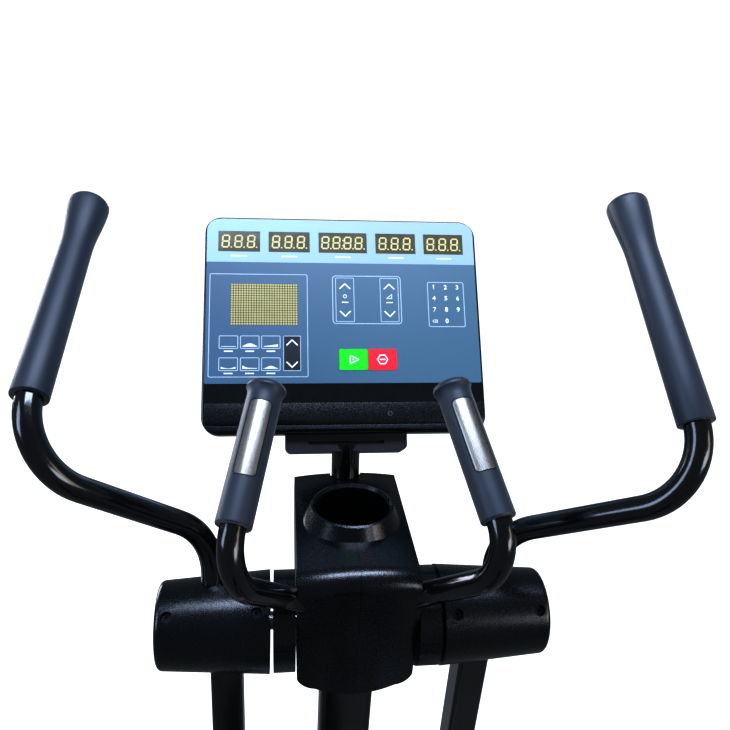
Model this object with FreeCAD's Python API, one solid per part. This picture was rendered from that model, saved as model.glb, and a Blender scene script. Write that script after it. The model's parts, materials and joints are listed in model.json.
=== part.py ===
"""Elliptical trainer with swinging handlebars and a rear crank drive.

Units are millimetres. +X is the user's right, +Y points ahead of the user
towards the console, +Z is up. The origin is the middle of the footprint, on
the floor. Left pieces lie at negative X.
"""
import FreeCAD, Part
import math
import os

V = FreeCAD.Vector
X_AXIS, Y_AXIS, Z_AXIS = V(1, 0, 0), V(0, 1, 0), V(0, 0, 1)
SIDES = (("left", -1), ("right", 1))

# ---------------------------------------------------------------- overall
BASE_LENGTH = 2050.0            # floor length, front face to rear face
PIVOT_SETBACK = 400.0           # front face of the base to the swing axis
PIVOT_HEIGHT = 1050.0           # swing axis above the floor
RUN_CLEARANCE = 0.05            # radial clearance of a running fit
SEAT_GAP = 0.4                  # gap between pieces that only seat in each other
BODY_GAP = 1.0                  # gap between pieces that move past each other

PIVOT_Y = BASE_LENGTH / 2 - PIVOT_SETBACK

# ---------------------------------------------------------------- linkage
ARM_LEAN_Y = 100.0              # lower pivot ahead of the swing axis, arm at rest middle
ARM_DROP_Z = 770.0              # lower pivot below the swing axis, arm at rest middle
SWING_REST_DEG = 5.2            # right arm's turn from its middle, as it stands
CRANK_RADIUS = 200.0
CRANK_SETBACK = 1290.0          # crank axis behind the swing axis
CRANK_HEIGHT = 330.0
RAIL_EXTRA = 10.2               # added to the rail, so that both arms stand equally far from the middle
TRACK_X = 180.0                 # lower arms and rails, from the middle plane

# ---------------------------------------------------------------- tubes
TUBE_R = 16.0
TUBE_WALL = 2.0
TUBE_PLUG = 22.0                # solid rubber above a tube's end, inside its grip

# ---------------------------------------------------------------- base
BEAM_W, BEAM_H, BEAM_WALL = 90.0, 60.0, 3.0
BEAM_BOTTOM = 40.0
STRETCHER_DEPTH, STRETCHER_H, STRETCHER_WALL = 60.0, 60.0, 2.5
STRETCHER_BOTTOM = 26.0
BEAM_ROUND, STRETCHER_ROUND, STRETCHER_ROUND_IN = 8.0, 10.0, 8.0
FRONT_STRETCHER_W, REAR_STRETCHER_W = 560.0, 620.0
CAP_T, CAP_PLUG = 4.0, 16.0
FOOT_R, FOOT_H, FOOT_STEM_R, FOOT_ROUND = 26.0, 14.0, 5.0, 4.0
FOOT_INSET = 45.0               # foot centre from the stretcher's end
WHEEL_R, WHEEL_W, WHEEL_BOLT_R = 30.0, 24.0, 6.0
WHEEL_LIFT = 7.0                # wheel's underside above the floor
WHEEL_WASHER_R, WHEEL_WASHER_T, WHEEL_HEAD_R, WHEEL_HEAD_T = 12.0, 6.0, 10.0, 6.0
WHEEL_ROUND, WHEEL_RIM, WHEEL_HUB_R, WHEEL_RECESS = 4.0, 7.0, 11.0, 5.0

# ---------------------------------------------------------------- mast
MAST_W, MAST_DEPTH, MAST_WALL, MAST_ROUND = 84.0, 56.0, 3.0, 9.0
MAST_LEAN = 0.23                # forward run per unit of drop
MAST_SETBACK = 58.0             # mast axis ahead of the swing axis, at its height
MAST_TOP = 56.0                 # mast top above the swing axis
WELD_LOW, WELD_HIGH = -150.0, 90.0      # reach of what is welded to the mast, from the swing axis
SADDLE_INSET = 6.0              # saddle and web edges inside the mast's sides
CLAMP_WALL, CLAMP_H = 7.0, 44.0
YOKE_WALL, YOKE_INSET, YOKE_WEB_LOW, YOKE_WEB_HIGH = 2.0, 12.0, 14.0, 4.0

# ---------------------------------------------------------------- pivot
HOUSING_HALF = 82.0             # half the pivot housing's width; the swing arms stand outside it
COLLAR_IN = HOUSING_HALF + 2 * BODY_GAP
COLLAR_OUT = COLLAR_IN + 30.0
BARREL_IN = COLLAR_OUT + 5.0
BARREL_OUT = BARREL_IN + 152.0
HUB_R, HUB_IN, HUB_OUT = 27.0, BARREL_IN + 11.0, BARREL_OUT - 13.0
AXLE_R, AXLE_HALF = 12.5, BARREL_OUT - 9.0
AXLE_HEAD_R, AXLE_HEAD_T = 17.5, 2.5
AXLE_PASS = 1.5                 # radial room where the axle only passes through
SLEEVE_WALL, SLEEVE_HALF = 8.0, HOUSING_HALF - 4.0
BEARING_R, BEARING_W = 19.0, 14.0
BARREL_R_IN, BARREL_R_OUT, BARREL_ROUND = 70.0, 60.0, 8.0
BARREL_WALL = 3.0
BARREL_BORE = HUB_R + SEAT_GAP
BARREL_NECK = 10.0              # depth of the hub's hole in the barrel's inner face
COLLAR_R, COLLAR_WALL = 85.0 - TUBE_R, 3.0      # leaves room for the fixed handle's tube
SCREW_R, SCREW_SHANK_R, SCREW_DEPTH = 7.5, 2.5, 6.0
BOSS_FOOT = 12.0                # screw boss's foot above the hub
SCREW_INSET = 17.0              # cover screw from each end of the barrel
SCREW_UP_DEG = 38.0             # cover screws, above level on the user's side

# ---------------------------------------------------------------- handlebar
BAR_X = BARREL_IN + 78.0        # where the bar leaves its barrel
BAR_KNEE = V(BAR_X, 2, 132)     # first bend, from the swing axis
BAR_ELBOW = V(BAR_X + 198, -163, 287)           # second bend
GRIP_RUN = V(-0.09, 1.03, 1.0)  # direction of the hand grip from the second bend
BAR_KNEE_R, BAR_ELBOW_R = 100.0, 84.0
BAR_ROOT = 4.0                  # depth of the bar's foot in its hub
GRIP_FROM, GRIP_TO = 87.0, 415.0
GRIP_R_LOW, GRIP_R_WAIST, GRIP_R_FLARE, GRIP_R_TOP = 22.5, 21.4, 27.5, 19.0
GRIP_FLARE_RUN, GRIP_HEAD_RUN, GRIP_EDGE = 62.0, 12.0, 2.0
GRIP_FLARE_SAG, GRIP_HEAD_SAG = 1.6, 2.2      # how far each curve leaves its chord

# ---------------------------------------------------------------- lower arm and rail
ARM_W, ARM_DEPTH, ARM_WALL, ARM_ROUND = 44.0, 50.0, 3.0, 6.0
BOSS_R, BOSS_HALF = 24.0, 23.0
LINK_PIN_R, LINK_HEAD_R, LINK_HEAD_T = 9.0, 14.0, 7.0
RAIL_W, RAIL_H, RAIL_WALL, RAIL_ROUND = 50.0, 44.0, 3.0, 6.0
EAR_T, EAR_R, EAR_LAP, EAR_INSET = 6.0, 25.0, 70.0, 2.0
RAIL_CLEAR = 52.0               # rail tube starts this far behind the link pin
RAIL_END_R, RAIL_BEARING_R, RAIL_BEARING_BORE, RAIL_BEARING_INSET = 27.0, 19.0, 11.0, 2.0
PLATE_LENGTH, PLATE_W, PLATE_T = 350.0, 150.0, 7.0
PLATE_SETBACK = 650.0           # foot plate's middle behind the link pin
PLATE_INBOARD = 8.0             # foot plate's middle inboard of the rail's middle
RIM_T, RIM_H, TOE_H = 5.0, 24.0, 46.0
PLATE_CORNER_R, TOE_RUN, TOE_TOP_RUN, HEEL_RUN = 34.0, 70.0, 20.0, 60.0

# ---------------------------------------------------------------- housing, from the swing axis
HOUSING_WALL = 3.0
HOUSING_SWEEP = 900.0           # length of the prisms that the housing is cut from
CREASE_Y, CREASE_Z = -86.0, 113.0
BACK_Y, BACK_Z = 168.0, 139.0
CHIN_Y, CHIN_Z = -35.3, -92.0
REAR_Y, REAR_Z = 226.0, 96.0
REAR_DROP = 60.0                # height of the rear wall
TAIL_Y = 120.0                  # rear end of the underside
BACK_STEP_Y, BACK_STEP_Z = 14.0, 6.0    # rounding step where the top meets the rear
FRONT_BULGE, TOP_CROWN, CHIN_CROWN = 6.0, 11.0, 12.0
CHIN_ROUND, CREASE_ROUND = 26.0, 26.0
CREASE_NEAR = 14.0              # how far the crease's middle may lie from its corner
HOUSING_PAST = 20.0             # cutting volumes reach this far past the housing
OPENING_GAP = 2.0               # room round the mast and the post
CUP_Y = 62.0
CUP_R, CUP_LIP_R, CUP_RING_R = 53.0, 60.0, 71.0
CUP_DEPTH, CUP_WALL, CUP_RISE = 56.0, 2.5, 18.0
CUP_DRAFT, CUP_FLANGE, CUP_LIP_EDGE = 3.0, 4.0, 3.0

# ---------------------------------------------------------------- fixed handles, from the swing axis
FIXED_ROOT = V(40, -38, 46)
FIXED_SIDE = V(98, -62, 76)
FIXED_GRIP_LOW = V(158, -128, 215)
FIXED_GRIP_TOP = V(119, 3, 349)
FIXED_NECK = 66.0               # bend's corner below the grip, on the grip's axis
FIXED_BEND_R, FIXED_SIDE_R = 56.0, 60.0
FIXED_GRIP_R, FIXED_CAP_R, FIXED_CAP_EDGE, FIXED_CAP_TURN, FIXED_FLARE = 22.5, 26.0, 9.0, 72.0, 12.0
PULSE_W, PULSE_L, PULSE_T, PULSE_FRAME = 26.0, 98.0, 1.2, 1.6
PULSE_START = 58.0              # pulse plate above the grip's lower end
PULSE_PROUD, PULSE_CORNER_R = 0.3, 5.0
FIXED_FLARE_SAG, FIXED_EDGE_IN, FIXED_EDGE_UP = 0.9, 1.0, 2.0

# ---------------------------------------------------------------- console
CONSOLE_W, CONSOLE_H = 454.0, 363.0
CONSOLE_Y, CONSOLE_Z = 173.0, 213.0     # middle of the lower front edge, from the swing axis
CONSOLE_TILT = 28.3             # top leans away from the user, from upright
CONSOLE_CORNER_R = 28.0
FACE_ROUND = 3.5                # rounded rim of the front shell
FRONT_DEPTH, REAR_DEPTH, CONSOLE_WALL = 20.0, 26.0, 3.0
REAR_INSET, REAR_ROUND = 5.0, 12.0
WINDOW_R, OVERLAY_R = 2.0, 3.0
OVERLAY_FROM, OVERLAY_RIM, OVERLAY_T = 81.0, 4.0, 0.8
WINDOW_DEPTH = 2.0
NUMBER_WINDOWS = ((-170.8, 68.0), (-89.0, 68.0), (0.0, 81.0), (89.0, 68.0), (170.8, 68.0))
NUMBER_WINDOW_Z, NUMBER_WINDOW_H = 302.0, 36.0
MATRIX_X, MATRIX_W, MATRIX_Z, MATRIX_H = -129.7, 107.7, 177.0, 70.0
KEY_W, KEY_H, KEY_Z, KEY_RISE = 46.6, 34.8, 102.3, 0.8
KEYS = (("start_key", 13.45), ("stop_key", 60.75))
KEY_TRAVEL, KEY_GAP, KEY_DEPTH = 0.6, 0.35, 3.0
BOARD_T, BOARD_MARGIN, BOARD_CLEAR, BOARD_R = 1.6, 30.0, 6.0, 4.0
PILLAR_R, PILLAR_INSET = 4.0, 10.0
BRACKET_W, BRACKET_H, BRACKET_FROM, BRACKET_TO = 194.0, 27.0, 6.0, 46.0
BRACKET_ROUND = 10.0
SLOT_W, SLOT_H, SLOT_DEPTH = 120.0, 5.0, 6.0
POST_R, POST_WALL = 22.5, 2.5
POST_Y, POST_LEAN = 181.0, 0.03
POST_FOOT = 24.0                # lower end of the post, from the swing axis
POST_SEAT = 12.0                # depth of the post's seat in the bracket

# ---------------------------------------------------------------- drive
PULLEY_R, PULLEY_W, PULLEY_MID = 140.0, 18.0, 4.0
SMALL_PULLEY_R = 20.0
PULLEY_RIM, PULLEY_HUB = 14.0, 16.0
FLYWHEEL_R, FLYWHEEL_T, FLYWHEEL_MID = 112.0, 28.0, -36.0
FLYWHEEL_BACK, FLYWHEEL_DOWN = 200.0, 30.0
FLYWHEEL_SHAFT_R, SHAFT_PAST = 8.5, 4.0
FLYWHEEL_RIM, FLYWHEEL_HUB_R, FLYWHEEL_RECESS = 22.0, 26.0, 9.0
BELT_T, BELT_W, BELT_GAP = 3.0, 14.0, 0.3
CRANK_AXLE_R = 12.5
CRANK_ARM_IN, CRANK_ARM_T, CRANK_ARM_W = 118.0, 20.0, 44.0
CRANK_BAR_SHARE, CRANK_EYE_SHARE = 0.75, 0.8    # of the hub's size
CRANK_PIN_R = 10.0
PIN_END_GAP = 1.5               # pin's end to the rail's inner face
SIDE_PLATE_IN, SIDE_PLATE_T = 66.0, 8.0
PLATE_REAR, PLATE_FRONT = 38.0, 60.0    # side plates beyond the flywheel's and the crank's axis
PLATE_STEP, PLATE_OVER_SHAFT, PLATE_OVER_CRANK = 20.0, 44.0, 50.0
FLANGE_T, FLANGE_IN = 6.0, 20.0
CRANK_BEARING_R, SHAFT_BEARING_R = 24.0, 17.0
MAGNET_GAP, MAGNET_T, MAGNET_SPAN_DEG = 3.0, 12.0, 70.0
STAY_HALF, STAY_T, STAY_LAP, STAY_FOOT = 14.0, 6.0, 2.0, 24.0
SHROUD_HALF, SHROUD_WALL, SHROUD_ROUND = 110.0, 3.0, 14.0
SHROUD_CORNER_R = 58.0
SHROUD_REACH = 28.0             # shroud beyond the pulley and the flywheel
SHROUD_AXLE_GAP, SHROUD_LIFT = 4.0, 2.0
SHROUD_TOE, SHROUD_HEEL, SHROUD_SILL = 12.0, 6.0, 12.0
SHROUD_REAR_RUN, SHROUD_REAR_DROP, SHROUD_TOP_BACK = 70.0, 40.0, 60.0
SHROUD_TOP_FRONT, SHROUD_FRONT_DROP, SHROUD_NOSE = 95.0, 16.0, 30.0
SHROUD_EDGE_ABOVE = 20.0        # rounded edges lie at least this far above the beam


# ================================================================ helpers
def pivot(point):
    """Place a point given from the swing axis in the trainer's frame."""
    return V(point.x, PIVOT_Y + point.y, PIVOT_HEIGHT + point.z)


def mirror_x(point, side):
    """Send a right-hand point to the given side."""
    return V(side * point.x, point.y, point.z)


def box(x_range, y_range, z_range):
    """Box between two values on each axis."""
    size = [hi - lo for lo, hi in (x_range, y_range, z_range)]
    return Part.makeBox(*size, V(x_range[0], y_range[0], z_range[0]))


def rod_x(radius, x_from, x_to, y, z):
    """Solid cylinder along X."""
    low, high = sorted((x_from, x_to))
    return Part.makeCylinder(radius, high - low, V(low, y, z), X_AXIS)


def ring_x(outer, inner, x_from, x_to, y, z):
    """Cylinder along X with a bore."""
    return rod_x(outer, x_from, x_to, y, z).cut(rod_x(inner, x_from, x_to, y, z))


def rounded_box(x_range, y_range, z_range, axis, radius):
    """Box with its four edges along one axis rounded."""
    solid = box(x_range, y_range, z_range)
    edges = [e for e in solid.Edges if abs(abs(e.tangentAt(e.FirstParameter).dot(axis)) - 1) < 1e-6]
    return solid.makeFillet(radius, edges)


def rect_tube_z(width, depth, wall, length, radius):
    """Rectangular tube standing on the origin, along Z."""
    outer = rounded_box((-width / 2, width / 2), (-depth / 2, depth / 2), (0, length), Z_AXIS, radius)
    half_w, half_d = width / 2 - wall, depth / 2 - wall
    inner = rounded_box((-half_w, half_w), (-half_d, half_d), (0, length), Z_AXIS, radius - wall / 2)
    return outer.cut(inner)


def moved(shape, origin, direction, side_hint=X_AXIS):
    """Copy of a shape built along Z, set at origin with Z along direction."""
    z_dir = V(direction).normalize()
    y_dir = z_dir.cross(side_hint).normalize()
    x_dir = y_dir.cross(z_dir)
    matrix = FreeCAD.Matrix(x_dir.x, y_dir.x, z_dir.x, origin.x,
                            x_dir.y, y_dir.y, z_dir.y, origin.y,
                            x_dir.z, y_dir.z, z_dir.z, origin.z, 0, 0, 0, 1)
    copy = shape.copy()
    copy.Placement = FreeCAD.Placement(matrix).multiply(copy.Placement)
    return copy


def rounded_path(points, radii):
    """Wire of straight runs joined by tangent arcs, one radius per inner point."""
    edges, start = [], points[0]
    for before, corner, after, radius in zip(points, points[1:], points[2:], radii):
        into, out = (corner - before).normalize(), (after - corner).normalize()
        turn = into.getAngle(out)
        reach = radius * math.tan(turn / 2)
        arc_from, arc_to = corner - into * reach, corner + out * reach
        inward = (out - into).normalize()
        middle = corner + inward * (radius / math.cos(turn / 2) - radius)
        edges.append(Part.LineSegment(start, arc_from).toShape())
        edges.append(Part.Arc(arc_from, middle, arc_to).toShape())
        start = arc_to
    edges.append(Part.LineSegment(start, points[-1]).toShape())
    return Part.Wire(edges)


def swept_rod(points, radii, rod_radius):
    """Round rod along a rounded path."""
    path = rounded_path(points, radii)
    first = (points[1] - points[0]).normalize()
    circle = Part.Wire(Part.Circle(points[0], first, rod_radius).toShape())
    return path.makePipeShell([circle], True, False)


def bent_tube(points, radii):
    """Bent steel tube along a rounded path."""
    return swept_rod(points, radii, TUBE_R).cut(swept_rod(points, radii, TUBE_R - TUBE_WALL))


def turned(profile, axis=Z_AXIS):
    """Solid of revolution of a closed list of edges, about an axis through the origin."""
    return Part.Face(Part.Wire(profile)).revolve(V(0, 0, 0), axis, 360)


def lines(points):
    """Closed chain of straight edges in the order given."""
    return Part.makePolygon(list(points) + [points[0]]).Edges


def plate_yz(points, x_from, x_to):
    """Flat plate from an outline in the YZ plane."""
    outline = [V(x_from, y, z) for y, z in points]
    return Part.Face(Part.makePolygon(outline + [outline[0]])).extrude(V(x_to - x_from, 0, 0))


def fuse(first, *others):
    """One solid from touching or overlapping ones."""
    return first.multiFuse(list(others)).removeSplitter()


def cut(solid, *tools):
    """Take each tool's volume away from a solid."""
    for tool in tools:
        solid = solid.cut(tool)
    return solid


def group(*solids):
    """Separate solids that share one node."""
    return Part.makeCompound(list(solids))


# ================================================================ linkage
def circle_cross(centre_a, radius_a, centre_b, radius_b, upper):
    """Crossing of two circles in the YZ plane, the upper or the lower one."""
    gap = centre_b - centre_a
    distance = gap.Length
    along = (radius_a ** 2 - radius_b ** 2 + distance ** 2) / (2 * distance)
    across = math.sqrt(radius_a ** 2 - along ** 2)
    unit = gap * (1 / distance)
    normal = V(0, -unit.z, unit.y)
    pair = [centre_a + unit * along + normal * (sign * across) for sign in (1, -1)]
    pair.sort(key=lambda point: point.z)
    return pair[1] if upper else pair[0]


def turn_about_pivot(point, degrees):
    """Turn a point in the trainer's frame about the swing axis."""
    turn = FreeCAD.Rotation(X_AXIS, degrees)
    centre = V(0, PIVOT_Y, PIVOT_HEIGHT)
    return centre + turn.multVec(point - centre)


PIVOT = V(0, PIVOT_Y, PIVOT_HEIGHT)
CRANK = V(0, PIVOT_Y - CRANK_SETBACK, CRANK_HEIGHT)
ARM_LENGTH = math.hypot(ARM_LEAN_Y, ARM_DROP_Z)
MIDDLE_LINK = pivot(V(0, ARM_LEAN_Y, -ARM_DROP_Z))
RAIL_LENGTH = (MIDDLE_LINK - CRANK).Length + RAIL_EXTRA


def closed_linkage():
    """Link pin, crank pin and swing angle of each side, with the linkage closed."""
    right_link = turn_about_pivot(MIDDLE_LINK, SWING_REST_DEG)
    right_pin = circle_cross(CRANK, CRANK_RADIUS, right_link, RAIL_LENGTH, True)
    left_pin = CRANK * 2 - right_pin
    left_link = circle_cross(PIVOT, ARM_LENGTH, left_pin, RAIL_LENGTH, False)
    middle, left = MIDDLE_LINK - PIVOT, left_link - PIVOT
    left_deg = math.degrees(math.atan2(left.z, left.y) - math.atan2(middle.z, middle.y))
    return {"right": (right_link, right_pin, SWING_REST_DEG), "left": (left_link, left_pin, left_deg)}


LINKAGE = closed_linkage()


def swing(shape, name):
    """Turn a swing arm's piece from its middle position to where it stands."""
    copy = shape.copy()
    copy.rotate(PIVOT, X_AXIS, LINKAGE[name][2])
    return copy


# ================================================================ base
def stretcher(middle_y, width):
    """Cross tube on the floor side of the beam, open at both ends."""
    half_w, half_d = width / 2, STRETCHER_DEPTH / 2
    z_range = (STRETCHER_BOTTOM, STRETCHER_BOTTOM + STRETCHER_H)
    outer = rounded_box((-half_w, half_w), (middle_y - half_d, middle_y + half_d), z_range, X_AXIS,
                        STRETCHER_ROUND)
    wall = STRETCHER_WALL
    inner = rounded_box((-half_w, half_w), (middle_y - half_d + wall, middle_y + half_d - wall),
                        (z_range[0] + wall, z_range[1] - wall), X_AXIS, STRETCHER_ROUND_IN)
    return outer.cut(inner)


FRONT_Y = BASE_LENGTH / 2 - STRETCHER_DEPTH / 2
STRETCHERS = (("front", FRONT_Y, FRONT_STRETCHER_W), ("rear", -FRONT_Y, REAR_STRETCHER_W))
BEAM_TOP = BEAM_BOTTOM + BEAM_H


def base_beam():
    """Long rectangular tube between the two stretchers."""
    length = 2 * FRONT_Y - STRETCHER_DEPTH
    tube = rect_tube_z(BEAM_W, BEAM_H, BEAM_WALL, length, BEAM_ROUND)
    return moved(tube, V(0, -length / 2, BEAM_BOTTOM + BEAM_H / 2), Y_AXIS)


def end_caps():
    """Plastic plugs in the four stretcher ends."""
    caps = []
    for _, middle_y, width in STRETCHERS:
        for _, side in SIDES:
            end = side * width / 2
            half_d = STRETCHER_DEPTH / 2
            z_range = (STRETCHER_BOTTOM, STRETCHER_BOTTOM + STRETCHER_H)
            x_range = sorted((end, end + side * CAP_T))
            face = rounded_box(x_range, (middle_y - half_d, middle_y + half_d), z_range, X_AXIS,
                               STRETCHER_ROUND)
            inset = STRETCHER_WALL + SEAT_GAP
            plug = rounded_box(sorted((end, end - side * CAP_PLUG)),
                               (middle_y - half_d + inset, middle_y + half_d - inset),
                               (z_range[0] + inset, z_range[1] - inset), X_AXIS, STRETCHER_ROUND_IN)
            caps.append(fuse(face, plug))
    return group(*caps)


def levelling_feet():
    """Four feet with a rounded pad and a stem that reaches the stretcher."""
    feet = []
    for _, middle_y, width in STRETCHERS:
        for _, side in SIDES:
            centre = V(side * (width / 2 - FOOT_INSET), middle_y, 0)
            pad = Part.makeCylinder(FOOT_R, FOOT_H, centre)
            pad = pad.makeFillet(FOOT_ROUND, [pad.Edges[0]])
            stem = Part.makeCylinder(FOOT_STEM_R, STRETCHER_BOTTOM - FOOT_H, centre + V(0, 0, FOOT_H))
            feet.append(fuse(pad, stem))
    return group(*feet)


WHEEL_Y = BASE_LENGTH / 2 - WHEEL_R - BODY_GAP
WHEEL_Z = WHEEL_R + WHEEL_LIFT


def wheel_bolt(side):
    """Bolt that carries a transport wheel, with a washer behind it and a head outside."""
    inner = side * (FRONT_STRETCHER_W / 2 + CAP_T)
    face = inner + side * WHEEL_WASHER_T
    outer = face + side * (WHEEL_W + 2 * BODY_GAP)
    washer = rod_x(WHEEL_WASHER_R, inner, face, WHEEL_Y, WHEEL_Z)
    shank = rod_x(WHEEL_BOLT_R, face, outer, WHEEL_Y, WHEEL_Z)
    head = rod_x(WHEEL_HEAD_R, outer, outer + side * WHEEL_HEAD_T, WHEEL_Y, WHEEL_Z)
    return fuse(washer, shank, head)


def transport_wheel(side):
    """Solid wheel with a rounded tread and a recessed face, running on its bolt."""
    start = side * (FRONT_STRETCHER_W / 2 + CAP_T + WHEEL_WASHER_T + BODY_GAP)
    wheel = rod_x(WHEEL_R, start, start + side * WHEEL_W, WHEEL_Y, WHEEL_Z)
    rims = [e for e in wheel.Edges if e.Closed]
    wheel = wheel.makeFillet(WHEEL_ROUND, rims)
    outer = start + side * WHEEL_W
    recess = ring_x(WHEEL_R - WHEEL_RIM, WHEEL_HUB_R, outer - side * WHEEL_RECESS, outer + side,
                    WHEEL_Y, WHEEL_Z)
    bore = rod_x(WHEEL_BOLT_R + RUN_CLEARANCE, start - side, outer + side, WHEEL_Y, WHEEL_Z)
    return cut(wheel, recess, bore)


# ================================================================ mast and pivot
def mast_axis_y(height):
    """Y of the mast's axis at a height above the swing axis, in the trainer's frame."""
    return PIVOT_Y + MAST_SETBACK - MAST_LEAN * height


def mast_tube():
    """Leaning rectangular tube from the base beam into the housing."""
    low = BEAM_TOP - PIVOT_HEIGHT
    over = MAST_DEPTH
    start = V(0, mast_axis_y(low - over), PIVOT_HEIGHT + low - over)
    end = V(0, mast_axis_y(MAST_TOP + over), PIVOT_HEIGHT + MAST_TOP + over)
    tube = moved(rect_tube_z(MAST_W, MAST_DEPTH, MAST_WALL, (end - start).Length, MAST_ROUND), start,
                 end - start)
    keep = box((-MAST_W, MAST_W), (-BASE_LENGTH, BASE_LENGTH), (BEAM_TOP, PIVOT_HEIGHT + MAST_TOP))
    return tube.common(keep)


def mast_face_y(height, sign):
    """Y of the mast's front or rear face at a height above the swing axis."""
    return mast_axis_y(height) + sign * MAST_DEPTH / 2 * math.hypot(1, MAST_LEAN)


def mast_envelope():
    """Filled outline of the mast near the swing axis, used to trim what is welded to it."""
    corners = ((WELD_LOW, -1), (WELD_LOW, 1), (WELD_HIGH, 1), (WELD_HIGH, -1))
    outline = [(mast_face_y(h, s), PIVOT_HEIGHT + h) for h, s in corners]
    return plate_yz(outline, -MAST_W / 2, MAST_W / 2)


def axle_sleeve():
    """Cross sleeve on the mast that holds the pivot axle, with its saddle."""
    radius = AXLE_R + SLEEVE_WALL
    sleeve = rod_x(radius, -SLEEVE_HALF, SLEEVE_HALF, PIVOT_Y, PIVOT_HEIGHT)
    saddle = box((-MAST_W / 2 + SADDLE_INSET, MAST_W / 2 - SADDLE_INSET), (PIVOT_Y, mast_axis_y(0)),
                 (PIVOT_HEIGHT - radius, PIVOT_HEIGHT + radius))
    bore = rod_x(AXLE_R, -SLEEVE_HALF, SLEEVE_HALF, PIVOT_Y, PIVOT_HEIGHT)
    return cut(fuse(sleeve, saddle), mast_envelope(), bore)


def post_axis(height):
    """Point of the console post's axis at a height above the swing axis."""
    return pivot(V(0, POST_Y + POST_LEAN * height, height))


def post_rod(radius, low, high):
    """Cylinder on the console post's axis."""
    foot, head = post_axis(low), post_axis(high)
    return moved(Part.makeCylinder(radius, (head - foot).Length), foot, head - foot)


def post_clamp():
    """Block behind the mast that holds the console post's foot."""
    half = POST_R + CLAMP_WALL
    block = box((-half, half), (mast_axis_y(0), post_axis(0).y + half),
                (PIVOT_HEIGHT + POST_FOOT, PIVOT_HEIGHT + POST_FOOT + CLAMP_H))
    past = POST_FOOT + CLAMP_H + HOUSING_PAST
    return cut(block, mast_envelope(), post_rod(POST_R, POST_FOOT - HOUSING_PAST, past))


def handle_yoke():
    """Cross block ahead of the sleeve that both fixed handles are welded to."""
    half = FIXED_ROOT.x
    root = pivot(FIXED_ROOT)
    bar = rod_x(TUBE_R + YOKE_WALL, -half, half, root.y, root.z)
    web_y = (root.y, mast_axis_y(MAST_TOP))
    web = box((-half + YOKE_INSET, half - YOKE_INSET), web_y,
              (root.z - YOKE_WEB_LOW, root.z - YOKE_WEB_HIGH))
    clear = rod_x(AXLE_R + SLEEVE_WALL, -SLEEVE_HALF, SLEEVE_HALF, PIVOT_Y, PIVOT_HEIGHT)
    return cut(fuse(bar, web), mast_envelope(), clear)


def mast():
    """Mast with the sleeve, the post clamp and the handle yoke welded to it."""
    return group(mast_tube(), axle_sleeve(), post_clamp(), handle_yoke())


def pivot_axle():
    """Steel axle through the sleeve and both hubs, with a washer and a bolt head at each end."""
    axle = rod_x(AXLE_R, -AXLE_HALF, AXLE_HALF, PIVOT_Y, PIVOT_HEIGHT)
    ends = []
    for _, side in SIDES:
        outer = side * AXLE_HALF
        ends.append(rod_x(AXLE_HEAD_R, outer, outer + side * AXLE_HEAD_T, PIVOT_Y, PIVOT_HEIGHT))
    return fuse(axle, *ends)


def axle_collars():
    """Split trim collars between the housing and each barrel, upper and lower halves."""
    halves = []
    for _, side in SIDES:
        x_range = sorted((side * COLLAR_IN, side * COLLAR_OUT))
        ring = ring_x(COLLAR_R, COLLAR_R - COLLAR_WALL, *x_range, PIVOT_Y, PIVOT_HEIGHT)
        web = ring_x(COLLAR_R, AXLE_R + BODY_GAP, side * COLLAR_IN, side * (COLLAR_IN + COLLAR_WALL),
                     PIVOT_Y, PIVOT_HEIGHT)
        collar = fuse(ring, web)
        reach = COLLAR_R + BODY_GAP
        for sign in (1, -1):
            z_range = sorted((PIVOT_HEIGHT + sign * SEAT_GAP, PIVOT_HEIGHT + sign * reach))
            keep = box(x_range, (PIVOT_Y - reach, PIVOT_Y + reach), z_range)
            halves.append(collar.common(keep))
    return group(*halves)


# ================================================================ swing arm
def bar_points(side):
    """Points of a moving handlebar's axis, arm at its middle."""
    direction = V(GRIP_RUN).normalize()
    tip = BAR_ELBOW + direction * (GRIP_TO - TUBE_PLUG)
    points = [V(BAR_X, 0, HUB_R - BAR_ROOT), BAR_KNEE, BAR_ELBOW, tip]
    return [pivot(mirror_x(point, side)) for point in points]


def hub_blank(side):
    """Solid cylinder of a hub's outside."""
    return rod_x(HUB_R, side * HUB_IN, side * HUB_OUT, PIVOT_Y, PIVOT_HEIGHT)


def swing_hub(side):
    """Hub tube with a bearing seat in each end."""
    seats = []
    for start, end in bearing_spans(side):
        seats.append(rod_x(BEARING_R, start, end, PIVOT_Y, PIVOT_HEIGHT))
    bore = rod_x(AXLE_R + AXLE_PASS, side * HUB_IN, side * HUB_OUT, PIVOT_Y, PIVOT_HEIGHT)
    return cut(hub_blank(side), bore, *seats)


def bearing_spans(side):
    """X spans of the two bearings in a hub."""
    return ((side * HUB_IN, side * (HUB_IN + BEARING_W)), (side * (HUB_OUT - BEARING_W), side * HUB_OUT))


def hub_bearings(side):
    """Two bearing rings that run on the pivot axle."""
    rings = [ring_x(BEARING_R, AXLE_R + RUN_CLEARANCE, start, end, PIVOT_Y, PIVOT_HEIGHT)
             for start, end in bearing_spans(side)]
    return group(*rings)


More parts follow.
